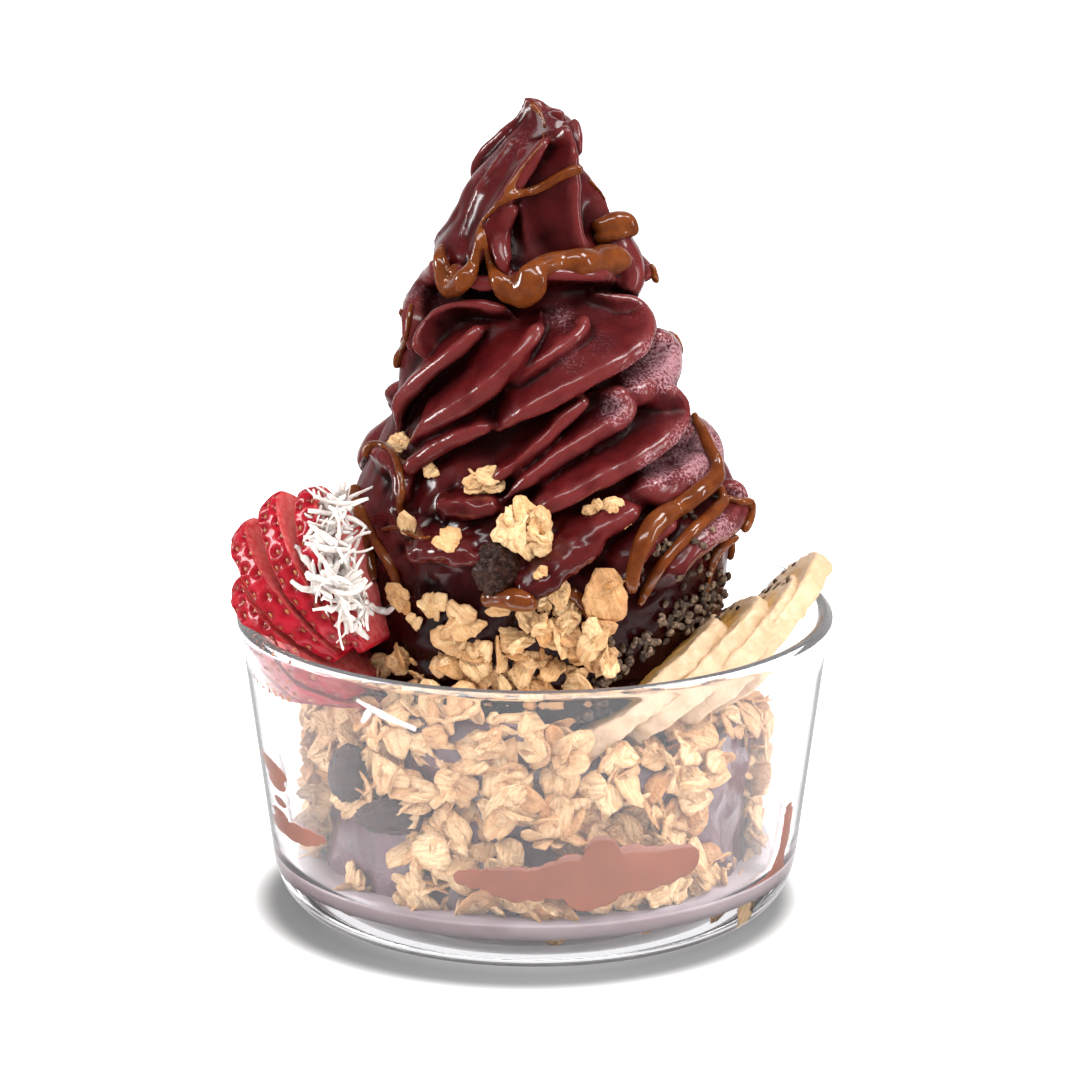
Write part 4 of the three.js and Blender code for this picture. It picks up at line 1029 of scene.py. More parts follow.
def oat_flake(draw, length, width, rings=4, around=15, whole=False):
    """One flake round its own middle: its points, faces, nearness of each point to its edge, and
    where it is along and across the flake. Unless it is whole, its edge is notched or broken. Its
    underside has the edge alone."""
    a = 2 * math.pi * (np.arange(around) + draw.uniform(-0.3, 0.3, around)) / around
    ragged = 1 + 0.10 * np.sin(2 * a + draw.uniform(0, 6)) + 0.08 * np.sin(3 * a + draw.uniform(0, 6))
    ragged *= 1 + draw.uniform(-0.09, 0.07, around)
    for _ in range(2):
        notch = draw.uniform(0, 2 * math.pi)
        chip = draw.uniform(0.05, 0.30) * (0.25 if whole else 1)
        ragged *= 1 - chip * np.exp(-((np.sin((a - notch) / 2) / 0.13) ** 2))
    curl = draw.choice([-1, 1]) * draw.uniform(7, 30)
    fold = draw.uniform(-0.22, 0.22)
    wave, pace, start = draw.uniform(0.2, 0.6), draw.uniform(0.6, 1.2), draw.uniform(0, 6)
    bow = draw.uniform(-0.05, 0.05)
    plump = draw.uniform(0.35, 0.6)
    sheets, edges = [], []
    # Nearly half of them have lost an end.
    broken = draw.uniform(0.1, 0.8) if draw.uniform() < 0.45 else UNBROKEN
    broken = UNBROKEN if whole else broken
    broken_edge = broken * (1 + draw.uniform(-0.15, 0.15, around)) / np.maximum(np.cos(a), 0.05)
    ragged = np.minimum(ragged, broken_edge)
    for face, count in ((1, rings), (-1, 1)):
        share = np.linspace(0, 1, count + 1)[1:, None] ** 0.8
        x = np.append(0, (share * length / 2 * ragged * np.cos(a)).ravel())
        y = np.append(0, (share * width / 2 * ragged * np.sin(a)).ravel())
        edge = np.append(0, np.broadcast_to(share, (count, around)).ravel())
        z = bow * x * x + fold * np.abs(y) + wave * np.sin(x * pace + start) * (y / width + 0.3)
        if face > 0:
            z += 0.16 * draw.normal(size=len(x)) * (1 - edge**4)
            z -= 0.45 * np.exp(-((y / 0.6) ** 2)) * (1 - edge**4)
        z += face * plump * (1 - 0.55 * edge**3)
        turn = y / curl
        sheets.append(np.column_stack([x, (curl - z) * np.sin(turn), curl - (curl - z) * np.cos(turn)]))
        edges.append(edge)
    under = len(sheets[0])
    faces = []
    for k in range(around):
        b = 1 + (k + 1) % around
        faces += [(0, 1 + k, b), (under, under + b, under + 1 + k)]
        for ring in range(rings - 1):
            p, q = 1 + ring * around + k, b + ring * around
            faces.append((p, p + around, q + around, q))
        p, q = 1 + (rings - 1) * around + k, b + (rings - 1) * around
        faces.append((p, under + 1 + k, under + b, q))
    points = np.concatenate(sheets)
    return points, faces, np.concatenate(edges), points[:, 0].copy(), points[:, 1].copy()


def facing(normal, spin):
    """Turning matrix that takes +Z to normal, after a spin round it."""
    up = np.asarray(normal, float) / np.linalg.norm(normal)
    side = np.cross([0.3, 0.2, 1.0] if abs(up[2]) < 0.9 else [1.0, 0, 0], up)
    side /= np.linalg.norm(side)
    other = np.cross(up, side)
    ahead = math.cos(spin) * side + math.sin(spin) * other
    return np.column_stack([ahead, np.cross(up, ahead), up])


class Heap:
    """Many small things that become one piece, each with a tone of its own."""

    def __init__(self):
        self.points, self.faces, self.count = [], [], 0
        self.marks = {"edge": [], "tone": [], "along": [], "across": [], "deep": []}

    def add(self, points, faces, **marks):
        """One more thing, with the same marks all over it or marks for each of its points."""
        self.points.append(points)
        self.faces += [tuple(i + self.count for i in face) for face in faces]
        for label in self.marks:
            self.marks[label].append(np.broadcast_to(marks.get(label, 0.0), len(points)))
        self.count += len(points)

    def flake(self, draw, at, normal, length, width, tone, deep=0.0, **fineness):
        """One flake at a place, facing along normal. Painted shade: its underside is darker, and deep
        darkens it all.
        """
        points, faces, edge, along, across = oat_flake(draw, length, width, **fineness)
        turn = facing(normal, draw.uniform(0, 2 * math.pi))
        points = points @ turn.T
        shade_lowness = np.clip(deep - 0.28 * points @ turn[:, 2], 0, 1)
        self.add(points + at, faces, tone=tone, edge=edge, along=along, across=across, deep=shade_lowness)

    def clump(self, draw, at, normal, flakes, reach, size):
        """Flakes baked together round a point, each tipped its own way."""
        turn = facing(normal, draw.uniform(0, 2 * math.pi))
        baked = draw.uniform(0, 0.6)
        for i in range(flakes):
            a = 2 * math.pi * (i + draw.uniform(-0.3, 0.3)) / flakes
            far = reach * draw.uniform(0.25, 0.8) * (i > 0)
            height = draw.uniform(-0.4, 0.25)
            off = turn @ np.array([far * math.cos(a), far * math.sin(a), height * reach])
            lean = np.asarray(normal) + 0.6 * draw.normal(size=3)
            length = size * draw.uniform(0.7, 1.25)
            tone = np.clip(baked + draw.normal(0, 0.3), 0, 1)
            # Painted shade: flakes that sit low in the clump are darker.
            deep = np.clip(0.1 - 1.2 * height, 0, 0.7)
            self.flake(draw, at + off, lean, length, length * draw.uniform(0.55, 0.82), tone, deep)

    def laid(self, name, material, slot=None, nodes=()):
        """The whole heap as one finished piece."""
        marks = {label: np.concatenate(values) for label, values in self.marks.items()}
        return lay(name, np.concatenate(self.points), self.faces, material, slot, nodes, marks)


oats, tree, shader = finish("baked_oats", Roughness=0.5, IOR=1.45, Specular_IOR_Level=0.35)
toned, at_edge, heap_shade = marked(tree, "tone"), marked(tree, "edge"), marked(tree, "deep")
pale = mixed(tree, toned, (0.95, 0.67, 0.36, 1), (0.56, 0.228, 0.052, 1))
# Fibres run along the flake, and its bran shows as brown flecks and a browner edge.
along = sums(tree, marked(tree, "along"), 0.22, "MULTIPLY")
across = sums(tree, marked(tree, "across"), 1.25, "MULTIPLY")
own = sums(tree, toned, 40.0, "MULTIPLY")
lined = node(tree, "ShaderNodeCombineXYZ", {0: along, 1: across, 2: own}).outputs[0]
fibre = node(tree, "ShaderNodeTexNoise", {"Vector": lined, "Scale": 1.0, "Detail": 4.0}).outputs["Fac"]
groove = between(tree, fibre, 0.56, 0.36)
colour = mixed(tree, sums(tree, groove, 0.65, "MULTIPLY"), pale, (0.56, 0.24, 0.068, 1))
specks = placed(tree, mottle, Size=1.4)["Mask"]
brown = sums(tree, specks, between(tree, at_edge, 0.55, 1.0, 0.10, 0.75), "MULTIPLY")
colour = mixed(tree, brown, colour, (0.44, 0.18, 0.048, 1))
flour = placed(tree, mottle, Size=0.7)["Mask"]
colour = mixed(tree, sums(tree, flour, 0.2, "MULTIPLY"), colour, (0.95, 0.76, 0.50, 1))
# Painted shade from the deep mark: undersides and low flakes go dark brown.
colour = mixed(tree, sums(tree, heap_shade, 0.85, "MULTIPLY"), colour, (0.36, 0.13, 0.040, 1))
tree.links.new(colour, shader.inputs["Base Color"])
relief = sums(tree, sums(tree, fibre, 1.6, "MULTIPLY"), placed(tree, grain, Size=0.8, Pits=0.5)["Height"])
bumped(tree, shader, relief, 0.55)

draw = np.random.default_rng(11)
ring_of_oats, rows, columns = Heap(), 9, 30
clump_reach = 4.6
front_size, back_size = 8.6, 10.5
# Where the acai shows between the oats: degrees seen from above and height, each from and to.
bare = [((200, 234), (12, 27)), ((320, 345), (16, 44)), ((222, 240), (26, 33))]
# Clumps in staggered rows from the glass floor up. Those of the top row lie flatter.
for row in range(rows):
    for column in range(columns):
        turn = (360 * (column + 0.5 * (row % 2) + draw.uniform(-0.28, 0.28)) / columns) % 360
        top = float(eased(granola_top, turn))
        share = row / (rows - 1)
        z = granola_foot + 3.5 + (top - 5 - granola_foot) * share + draw.uniform(-2, 2)
        if any(a < turn < b and low < z < high for (a, b), (low, high) in bare):
            continue
        a = math.radians(turn)
        on_top = row == rows - 1
        r = granola_core + draw.uniform(-0.9, 2.2) - (2.0 if on_top else 1.5 * (row == 0))
        at = np.array([r * math.cos(a), r * math.sin(a), z])
        normal = np.array([math.cos(a), math.sin(a), 0.8 if on_top else 0.1])
        front = math.sin(a) < 0.1
        flakes, size = (int(draw.integers(4, 7)), front_size) if front else (3, back_size)
        ring_of_oats.clump(draw, at, normal, flakes, clump_reach, size)
for i, part in enumerate(ring_of_oats.points):
    ring_of_oats.points[i] = inside_glass(part, 0.4)
ring_of_oats.laid("granola_oats", oats, "oats", ["granola"])

# The melted acai that the oats lie in, as it shows between them through the glass.
melted, tree, shader = finish("melted_acai", Roughness=0.3, Coat_Weight=0.4, Coat_Roughness=0.1)
tone = placed(tree, mottle, Dark=(0.045, 0.008, 0.012, 1), Light=(0.120, 0.035, 0.048, 1), Size=9.0)
tree.links.new(tone["Color"], shader.inputs["Base Color"])
bumped(tree, shader, placed(tree, grain, Size=2.5, Pits=0.2)["Height"], 0.6)
melt_outer, melt_inner, melt_foot, melt_below_top = 46.2, 42.3, granola_foot - 2.0, 3
melt_rows, melt_sides = 16, 120
angle = 2 * math.pi * np.arange(melt_sides) / melt_sides
outwards = np.column_stack([np.cos(angle), np.sin(angle)])
tops = eased(granola_top, np.degrees(angle)) - melt_below_top
heights = [melt_foot + (tops - melt_foot) * share for share in np.linspace(0, 1, melt_rows)]
melt_rings = [np.column_stack([melt_outer * outwards, z]) for z in heights]
melt_rings += [np.column_stack([melt_inner * outwards, z]) for z in heights[::-1]]
row, k = np.meshgrid(np.arange(len(melt_rings)), np.arange(melt_sides), indexing="ij")
this, after = row * melt_sides, (row + 1) % len(melt_rings) * melt_sides
beyond = (k + 1) % melt_sides
melt_faces = np.stack([this + k, this + beyond, after + beyond, after + k], -1).reshape(-1, 4)
melt_points = np.concatenate(melt_rings)
# Only its outer face is uneven.
uneven = np.where(np.arange(len(melt_points)) < melt_rows * melt_sides, 1.3 * lumps(melt_points, 12, 21), 0)
melt_points[:, :2] += uneven[:, None] * np.tile(outwards, (len(melt_rings), 1))
lay("melted_acai", melt_points, melt_faces, melted, "acai")

# ---------------------------------------------------------------------------------------------
# Oats on the swirl: single flakes stuck to the wet acai, small heaps of them at the foot of its
# front, and four baked clusters pressed into it.
# ---------------------------------------------------------------------------------------------
# The small heaps, by their places in the view. Those above thin_above are the thinner ones.
front_heaps = [
    (402, 604), (432, 606), (465, 620), (545, 622), (524, 664), (588, 655), (372, 588), (383, 672),
    (404, 660), (452, 662), (476, 650), (508, 646), (547, 658), (562, 638), (572, 618), (604, 655),
    (540, 600), (562, 606), (426, 678), (470, 684), (500, 678), (538, 680), (574, 678), (592, 634),
]  # fmt: skip
thin_above = 612
# The single flakes: x and height on the front, length and width.
loose_flakes = [
    [-28, 103.5, 7.5, 5.5], [-20.5, 101.5, 5.5, 4], [-16.5, 89, 10, 7], [-26, 90, 8, 5], [5, 79.5, 7.5, 5],
    [-28, 75, 7.5, 6], [-20.5, 75.5, 8, 6], [-13.5, 72, 10, 8], [-5, 69, 10, 8], [3.5, 71, 9, 7],
    [10, 68, 9.5, 8], [1, 84.5, 6, 3.5], [-7, 76, 6, 3.5], [13, 72, 8, 5], [-17, 67.5, 9, 7],
    [-25, 70, 6, 4], [-1, 73.5, 7, 5], [8, 74, 8, 6],
]  # fmt: skip


def on_front(x, z):
    """Point and normal of the front at x and a height; past its edge, the nearest at that height."""
    for inward in np.arange(0, abs(x) + 0.5, 0.5):
        start = Vector((x - math.copysign(inward, x), -150, z))
        place, normal, _, _ = swirl_tree.ray_cast(start, Vector((0, 1, 0)))
        if place is not None:
            return np.array(place), np.array(normal)
    raise ValueError(f"nothing at {x}, {z}")


draw = np.random.default_rng(5)
sprinkled = Heap()
for x, z, length, width in loose_flakes:
    at, normal = on_front(x, z)
    lean = normal + np.array([0, -0.5, 0]) + 0.35 * draw.normal(size=3)
    tone = 0.2 + draw.uniform(0, 0.5)
    sprinkled.flake(draw, at + 0.7 * normal, lean, length, width, tone, rings=6, around=24)
for u, v in front_heaps:
    found = seen(u, v, swirl_tree)
    if found:
        at, normal = found
        flakes, reach, size, lift = (3, 2.2, 4.8, 0.6) if v < thin_above else (5, 3.4, 6.4, 1.2)
        lean = normal + np.array([0, -0.4, 0.2]) + 0.4 * draw.normal(size=3)
        sprinkled.clump(draw, at + lift * normal, lean, flakes, reach, size)
sprinkled.laid("loose_flakes", oats, "oats")

# Middle, half size, how many flakes, their length and how brown each cluster is baked. The one with
# a single flake is a jumbo one that lies flat and whole.
clusters = [
    ((-2, -42, 92.8), (6.6, 3.6, 6), 9, 8.0, 0.2),
    ((14.5, -37, 94.3), (6.2, 3.4, 3.6), 8, 6.0, 0.5),
    ((14.6, -42.2, 79), (5.4, 2.3, 4.6), 1, 10.6, 1.0),
    ((-10.5, -34, 100.8), (4.2, 2.6, 3.2), 5, 5.6, 0.25),
]
for k, (at, reach, flakes, size, tone) in enumerate(clusters):
    heap = Heap()
    single = flakes == 1
    # baked goes to the flakes' deep mark: the jumbo flake is darkened all over towards the brown that
    # paints shade on the others.
    out, sway, roundness, baked = (0, 0.1, 0.93, 0.45) if single else (0.5, 0.4, 0.8, 0)
    for i in range(flakes):
        a = 2 * math.pi * (i + draw.uniform(-0.2, 0.2)) / flakes
        off = np.array(reach) * [out * math.cos(a), draw.uniform(-0.55, -0.2), out * math.sin(a)]
        normal = np.array([0.5 * out * math.cos(a), -1, 0.5 * out * math.sin(a) + 0.2])
        normal += sway * draw.normal(size=3)
        own = np.clip(tone + draw.normal(0, 0.15), 0, 1)
        length = size * draw.uniform(0.85, 1.15)
        width = length * roundness
        heap.flake(draw, at + off, normal, length, width, own, baked, rings=6, around=26, whole=single)
    # Broken ones fill the middle.
    for _ in range(flakes):
        off = np.array(reach) * draw.uniform(-0.45, 0.45, 3)
        heap.flake(draw, at + off, draw.normal(size=3), 0.8 * size, 0.6 * size, tone)
    heap.laid(f"oat_cluster_{k + 1}", oats, "oats", [f"granola_cluster_{k + 1}"])

# ---------------------------------------------------------------------------------------------
# The raisins: dried grapes, wrinkled and specked with sugar. One is pressed into the swirl, and two
# lie among the oats behind the glass.
# ---------------------------------------------------------------------------------------------
raisin_skin, tree, shader = finish(
    "raisin_skin", Roughness=0.45, Specular_IOR_Level=0.22, Coat_Weight=0.12, Coat_Roughness=0.25
)
dark = placed(tree, mottle, Dark=(0.007, 0.0016, 0.0010, 1), Light=(0.036, 0.0085, 0.0042, 1), Size=1.4)
sugar = between(tree, placed(tree, mottle, Size=0.8)["Mask"], 0.55, 0.85)
colour = mixed(tree, sums(tree, sugar, 0.16, "MULTIPLY"), dark["Color"], (0.24, 0.13, 0.085, 1))
tree.links.new(colour, shader.inputs["Base Color"])
bumped(tree, shader, placed(tree, grain, Size=0.6, Pits=0.8)["Height"], 0.3)


def globe(rows, side):
    """Points and faces of a ball of radius 1."""
    polar = math.pi * np.arange(1, rows) / rows
    a = 2 * math.pi * np.arange(side) / side
    rings = [
        np.column_stack([math.sin(p) * np.cos(a), math.sin(p) * np.sin(a), np.full(side, -math.cos(p))])
        for p in polar
    ]
    points, faces = loft(rings)
    points[-2], points[-1] = (0, 0, -1), (0, 0, 1)
    return points, faces


# Middle and half size of each.
raisins = [
    ((-7.8, -41.5, 84.3), (5.2, 4.2, 6.2)),
    ((-28.5, -40.5, 30.5), (8.5, 3.4, 4.0)),
    ((-38.5, -33.0, 37.5), (4.2, 3, 6.5)),
]
for k, (at, reach) in enumerate(raisins):
    ball, faces = globe(44, 64)
    way = ball * np.array(reach)
    folds = np.abs(lumps(way, 3.4, 40 + k, 1)) * 0.9 + 0.7 * np.abs(lumps(way, 1.8, 50 + k, 1))
    way = way * (1.04 - 0.17 * np.clip(folds, 0, 1.6))[:, None]
    lay(f"raisin_fruit_{k + 1}", way + np.array(at), faces, raisin_skin, "raisin", [f"raisin_{k + 1}"])

# ---------------------------------------------------------------------------------------------
# The strawberry: one berry cut lengthwise and fanned over the rim. Each slice has red skin with
# seeds in dimples round its edge and paler cut faces; the lowest one is the berry's cheek.
# ---------------------------------------------------------------------------------------------
# The fan turns about its root. Each slice reaches so far from it, at a tilt in degrees, and is a
# share of the berry's full width across.
fan = {
    "root": np.array([-27.0, -33, 50]),
    "left": np.array([-0.9, 0.43, 0]) / math.hypot(0.9, 0.43),
    "reach": [52, 54, 53.5, 46.7, 42.8, 40],
    "tilt": [64, 54, 43, 31, 18, 5],
    "share": [0.82, 0.93, 1, 1, 0.95, 0.85],
    "thick": 5.4,
    "wedge": math.radians(10),
    "gap": 0.3,
    "length": 36.0,
    "half_width": 13.5,
    "cheek": 5.0,
}
pip_spacing = 2.9
pip_half = np.array([0.72, 0.42, 0.32])
# Below this height the granola under the slices pushes them flat.
granola_under = 54

# The rows of points of a slice, from the middle of its lower face round the edge to the middle of
# its upper one: their share of the outline's size, and their height in halves of the thickness.
face_rows = np.array([0.04, 0.2, 0.36, 0.5, 0.62, 0.73, 0.82, 0.89])
face_share, edge_share = 0.945, 0.055
edge_angle = np.linspace(-0.5, 0.5, 15) * math.pi
edge_inset = face_share + edge_share * np.abs(np.cos(edge_angle)) ** 0.7
edge_level = np.sign(edge_angle) * np.abs(np.sin(edge_angle)) ** 0.75
slice_inset = np.concatenate([face_rows, edge_inset, face_rows[::-1]])
slice_level = np.concatenate([np.full(len(face_rows), -1.0), edge_level, np.full(len(face_rows), 1.0)])


def slab(outline, place, thickness, dome=0.0):
    """A slice with the outline's [along, across] points, whose lower face swells by dome. place is
    its root and its lengthwise, across and up directions. With it, how near the edge each point is,
    its level, and its normal."""
    at, lengthwise, across, up = place
    middle = outline[:, 0].mean()
    rings = []
    for share, level in zip(slice_inset, slice_level):
        s = middle + (outline[:, 0] - middle) * share
        w = outline[:, 1] * share
        rise = level * thickness(s) / 2
        if level <= 0:
            rise -= dome * math.sqrt(max(0.0, 1 - share * share))
        rings.append(at + s[:, None] * lengthwise + w[:, None] * across + rise[:, None] * up)
    points, faces = loft(rings)
    inset = np.append(np.repeat(slice_inset, len(outline)), [0, 0])
    level = np.append(np.repeat(slice_level, len(outline)), [-1, 1])
    triangles = np.array([[f[0], f[i], f[i + 1]] for f in faces for i in range(1, len(f) - 1)])
    return points, faces, inset, level, normals_of(points, triangles)


def berry_thickness(s):
    """Thickness of a strawberry slice at a distance from the fan's root, towards which it thins."""
    return np.clip(s * math.sin(fan["wedge"]) - fan["gap"], 1, fan["thick"])


berry, tree, shader = finish(
    "strawberry_flesh",
    Roughness=0.34,
    Specular_IOR_Level=0.15,
    Coat_Weight=0.3,
    Coat_Roughness=0.05,
    Subsurface_Weight=0.05,
    Subsurface_Scale=0.0025,
)
shader.inputs["Subsurface Radius"].default_value = (1.0, 0.25, 0.2)
on_skin, to_core, pit = marked(tree, "skin"), marked(tree, "core"), marked(tree, "pit")
red = placed(tree, mottle, Dark=(0.24, 0.0018, 0.0070, 1), Light=(0.38, 0.0055, 0.018, 1), Size=6.0)
flesh = mixed(tree, to_core, (0.42, 0.020, 0.025, 1), (0.66, 0.17, 0.15, 1))
streaks = placed(tree, mottle, Size=1.5)["Mask"]
flesh = mixed(tree, sums(tree, streaks, 0.25, "MULTIPLY"), flesh, (0.80, 0.36, 0.32, 1))
colour = mixed(tree, on_skin, flesh, red["Color"])
# Painted shade: the dimples round the seeds go dark red.
colour = mixed(tree, sums(tree, pit, 0.9, "MULTIPLY"), colour, (0.11, 0.0008, 0.0035, 1))
tree.links.new(colour, shader.inputs["Base Color"])
bumped(tree, shader, placed(tree, grain, Size=1.1, Pits=0.3)["Height"], 0.12)

pips, tree, shader = finish("strawberry_pips", Roughness=0.3, Coat_Weight=0.4, Coat_Roughness=0.1)
tone = placed(tree, mottle, Dark=(0.16, 0.015, 0.008, 1), Light=(0.45, 0.16, 0.05, 1), Size=2.5)
tree.links.new(tone["Color"], shader.inputs["Base Color"])

draw = np.random.default_rng(23)
all_pips = Heap()
berry_shells = []
pip_ball, pip_faces = globe(7, 9)
for k, tilt in enumerate(np.radians(fan["tilt"])):
    lengthwise = fan["left"] * math.cos(tilt) + np.array([0, 0, math.sin(tilt)])
    across = np.cross(fan["left"], [0, 0, 1])
    up = np.cross(across, lengthwise)
    up *= np.sign(up[2])
    # The berry's outline from its blunt end to its tip, then back along the other side.
    t = np.sin(np.linspace(0, 1, 76) * math.pi / 2) ** 0.9
    width = np.sqrt(np.maximum(0, np.sin(math.pi * (0.1 + 0.9 * t**1.15)))) * (1 - 0.25 * t)
    width = np.maximum(width * fan["half_width"] * fan["share"][k], 0.05)
    s = fan["reach"][k] - fan["length"] * (1 - t)
    outline = np.concatenate([np.column_stack([s, width]), np.column_stack([s, -width])[::-1]])
    cheek = k == len(fan["tilt"]) - 1
    points, faces, inset, level, normals = slab(
        outline,
        (fan["root"], lengthwise, across, up),
        berry_thickness,
        fan["cheek"] if cheek else 0.0,
    )
    skin = smooth_step(0.955, 0.975, inset)
    if cheek:
        skin = np.maximum(skin, level < 0)
    points = points + (0.25 * lumps(points, 9, 60 + k))[:, None] * normals
    # Seeds sit in the skin about three millimetres apart.
    chosen = []
    for i in draw.permutation(np.flatnonzero(skin > 0.9)):
        if all(np.linalg.norm(points[i] - points[j]) > pip_spacing for j in chosen):
            chosen.append(i)
    near = KDTree(len(chosen))
    for i, j in enumerate(chosen):
        near.insert(points[j], i)
    near.balance()
    # Round each seed the skin dips, and swells again past the dimple's edge.
    away = np.array([near.find(p)[2] for p in points])
    depth = np.exp(-((away / 1.12) ** 2)) * skin
    rimmed = np.exp(-(((away - 1.55) / 0.5) ** 2)) * skin
    points = points + (-0.85 * depth + 0.16 * rimmed)[:, None] * normals
    marks = {"skin": skin, "core": smooth_step(0.95, 0.2, inset), "pit": depth}
    points[:, 2] = np.maximum(points[:, 2], granola_under + 0.15 * (points[:, 2] - granola_under))
    points = inside_glass(points)
    berry_shells.append((points, faces))
    lay(f"strawberry_cut_{k + 1}", points, faces, berry, "strawberry", [f"strawberry_slice_{k + 1}"], marks)
    for j in chosen:
        ahead = lengthwise - normals[j] * (lengthwise @ normals[j])
        ahead /= max(np.linalg.norm(ahead), 1e-6)
        turn = np.column_stack([ahead, np.cross(normals[j], ahead), normals[j]])
        all_pips.add(pip_ball * pip_half @ turn.T + points[j] + 0.1 * normals[j], pip_faces)
all_pips.laid("strawberry_pips", pips, "strawberry")

# ---------------------------------------------------------------------------------------------
# The banana: four peeled slices cut on the slant, leaning one on the next along the rim. The
# flesh is cream at the edge and a little yellower and wetter in the middle of the cut.
# ---------------------------------------------------------------------------------------------
# The slices are squarish ovals. Each has its outer edge at a place, stands up by so many degrees
# more than the first and is turned by so many in its own plane.
banana = {
    "half": (22.5, 14.0),
    "square": 2.7,
    "thick": 4.8,
    "edges": [(27.5, -38.5, 58.5), (37.5, -33.5, 61), (46.5, -27.5, 63.5), (53.5, -20, 67)],
    "lengthwise": np.array([0.7, 0.52, 0.49]) / np.linalg.norm([0.7, 0.52, 0.49]),
    "up": np.array([-0.6, 0.05, 0.8]) / np.linalg.norm([0.6, 0.05, 0.8]),
    "turn": [0, 4, 9, 18],
    "stand": [0, 2, 5, 9],
}


def turned_about(vector, axis, degrees):
    """The vector turned about an axis of length 1."""
    a = math.radians(degrees)
    return (
        vector * math.cos(a)
        + np.cross(axis, vector) * math.sin(a)
        + axis * (axis @ vector) * (1 - math.cos(a))
    )


flesh_of_banana, tree, shader = finish(
    "banana_flesh",
    Roughness=0.38,
    Coat_Weight=0.15,
    Coat_Roughness=0.2,
    Subsurface_Weight=0.15,
    Subsurface_Scale=0.002,
)
shader.inputs["Subsurface Radius"].default_value = (1.0, 0.75, 0.35)
to_core = marked(tree, "core")
cream = placed(tree, mottle, Dark=(0.50, 0.328, 0.185, 1), Light=(0.60, 0.415, 0.262, 1), Size=4.0)
yellow = placed(tree, mottle, Dark=(0.47, 0.236, 0.050, 1), Light=(0.55, 0.298, 0.080, 1), Size=3.0)
colour = mixed(tree, between(tree, to_core, 0.05, 0.45), cream["Color"], yellow["Color"])
tree.links.new(colour, shader.inputs["Base Color"])
bumped(tree, shader, placed(tree, grain, Size=1.6, Pits=0.4)["Height"], 0.3)


def banana_thickness(s):
    """Thickness of a banana slice: the same all along."""
    return np.full(len(s), banana["thick"])


banana_shells = []
for k, edge_at in enumerate(banana["edges"]):
    level_axis = np.array([0.0, 1, 0])
    up = turned_about(banana["up"], level_axis, -banana["stand"][k])
    base = turned_about(banana["lengthwise"], level_axis, -banana["stand"][k])
    flat_across = np.cross(base, up)
    flat_across /= np.linalg.norm(flat_across)
    lengthwise = turned_about(base, up, banana["turn"][k])
    across = np.cross(lengthwise, up)
    across /= np.linalg.norm(across)
    at = np.array(edge_at) - flat_across * banana["half"][1]
    a = 2 * math.pi * np.arange(150) / 150
    square = banana["square"]
    full = (np.abs(np.cos(a)) ** square + np.abs(np.sin(a)) ** square) ** (-1 / square)
    bump = full * (1 + 0.02 * np.sin(3 * a + k) + 0.007 * np.sin(11 * a + 2 * k) + 0.009 * np.sin(23 * a))
    outline = np.column_stack([banana["half"][0] * bump * np.cos(a), banana["half"][1] * bump * np.sin(a)])
    points, faces, inset, _, normals = slab(outline, (at, lengthwise, across, up), banana_thickness)
    uneven = 0.30 * lumps(points, 6, 80 + k) + 0.22 * lumps(points, 2.6, 90 + k)
    points = inside_glass(points + uneven[:, None] * normals)
    banana_shells.append((points, faces))
    marks = {"core": smooth_step(0.97, 0.3, inset)}
    lay(f"banana_cut_{k + 1}", points, faces, flesh_of_banana, "banana", [f"banana_slice_{k + 1}"], marks)

# ---------------------------------------------------------------------------------------------
# The coconut: moist white shreds, curled and tangled in a tuft where the strawberry meets the
# swirl, with a few that have slipped onto the slices and down behind the glass.
# ---------------------------------------------------------------------------------------------
coconut_flesh, tree, shader = finish(
    "coconut_flesh", Roughness=0.4, Subsurface_Weight=0.35, Subsurface_Scale=0.002
)
shader.inputs["Subsurface Radius"].default_value = (1.0, 0.9, 0.8)
white = placed(tree, mottle, Dark=(0.52, 0.44, 0.40, 1), Light=(0.82, 0.76, 0.71, 1), Size=3.0)
tree.links.new(white["Color"], shader.inputs["Base Color"])
bumped(tree, shader, placed(tree, grain, Size=0.7, Pits=0.3)["Height"], 0.12)

draw = np.random.default_rng(31)
# The tuft's middle from its top down, and its radius by the share of the way along.
tuft_line = through([[-41, -24, 98], [-42, -30, 90], [-41.5, -34, 81], [-37.5, -38.5, 73]], 0.5)
tuft_radius = [[0, 2.6], [0.33, 5.2], [0.67, 5.8], [1, 3.6]]
tuft_shreds, shred_step = 125, 0.8
shreds = Heap()


def shred(middle, out, width):
    """A strip through middle that lies flat to out."""
    middle = np.asarray(middle)
    t = np.linspace(0, 1, len(middle))
    half = width / 2 * (0.35 + 0.65 * np.sin(math.pi * np.clip(t, 0.04, 0.96)) ** 0.4)
    half *= 1 + 0.15 * np.sin(t * draw.uniform(6, 14) + draw.uniform(0, 6))
    shreds.add(*loft(tube(middle, np.broadcast_to(out, middle.shape), half, 0.4, 6)))


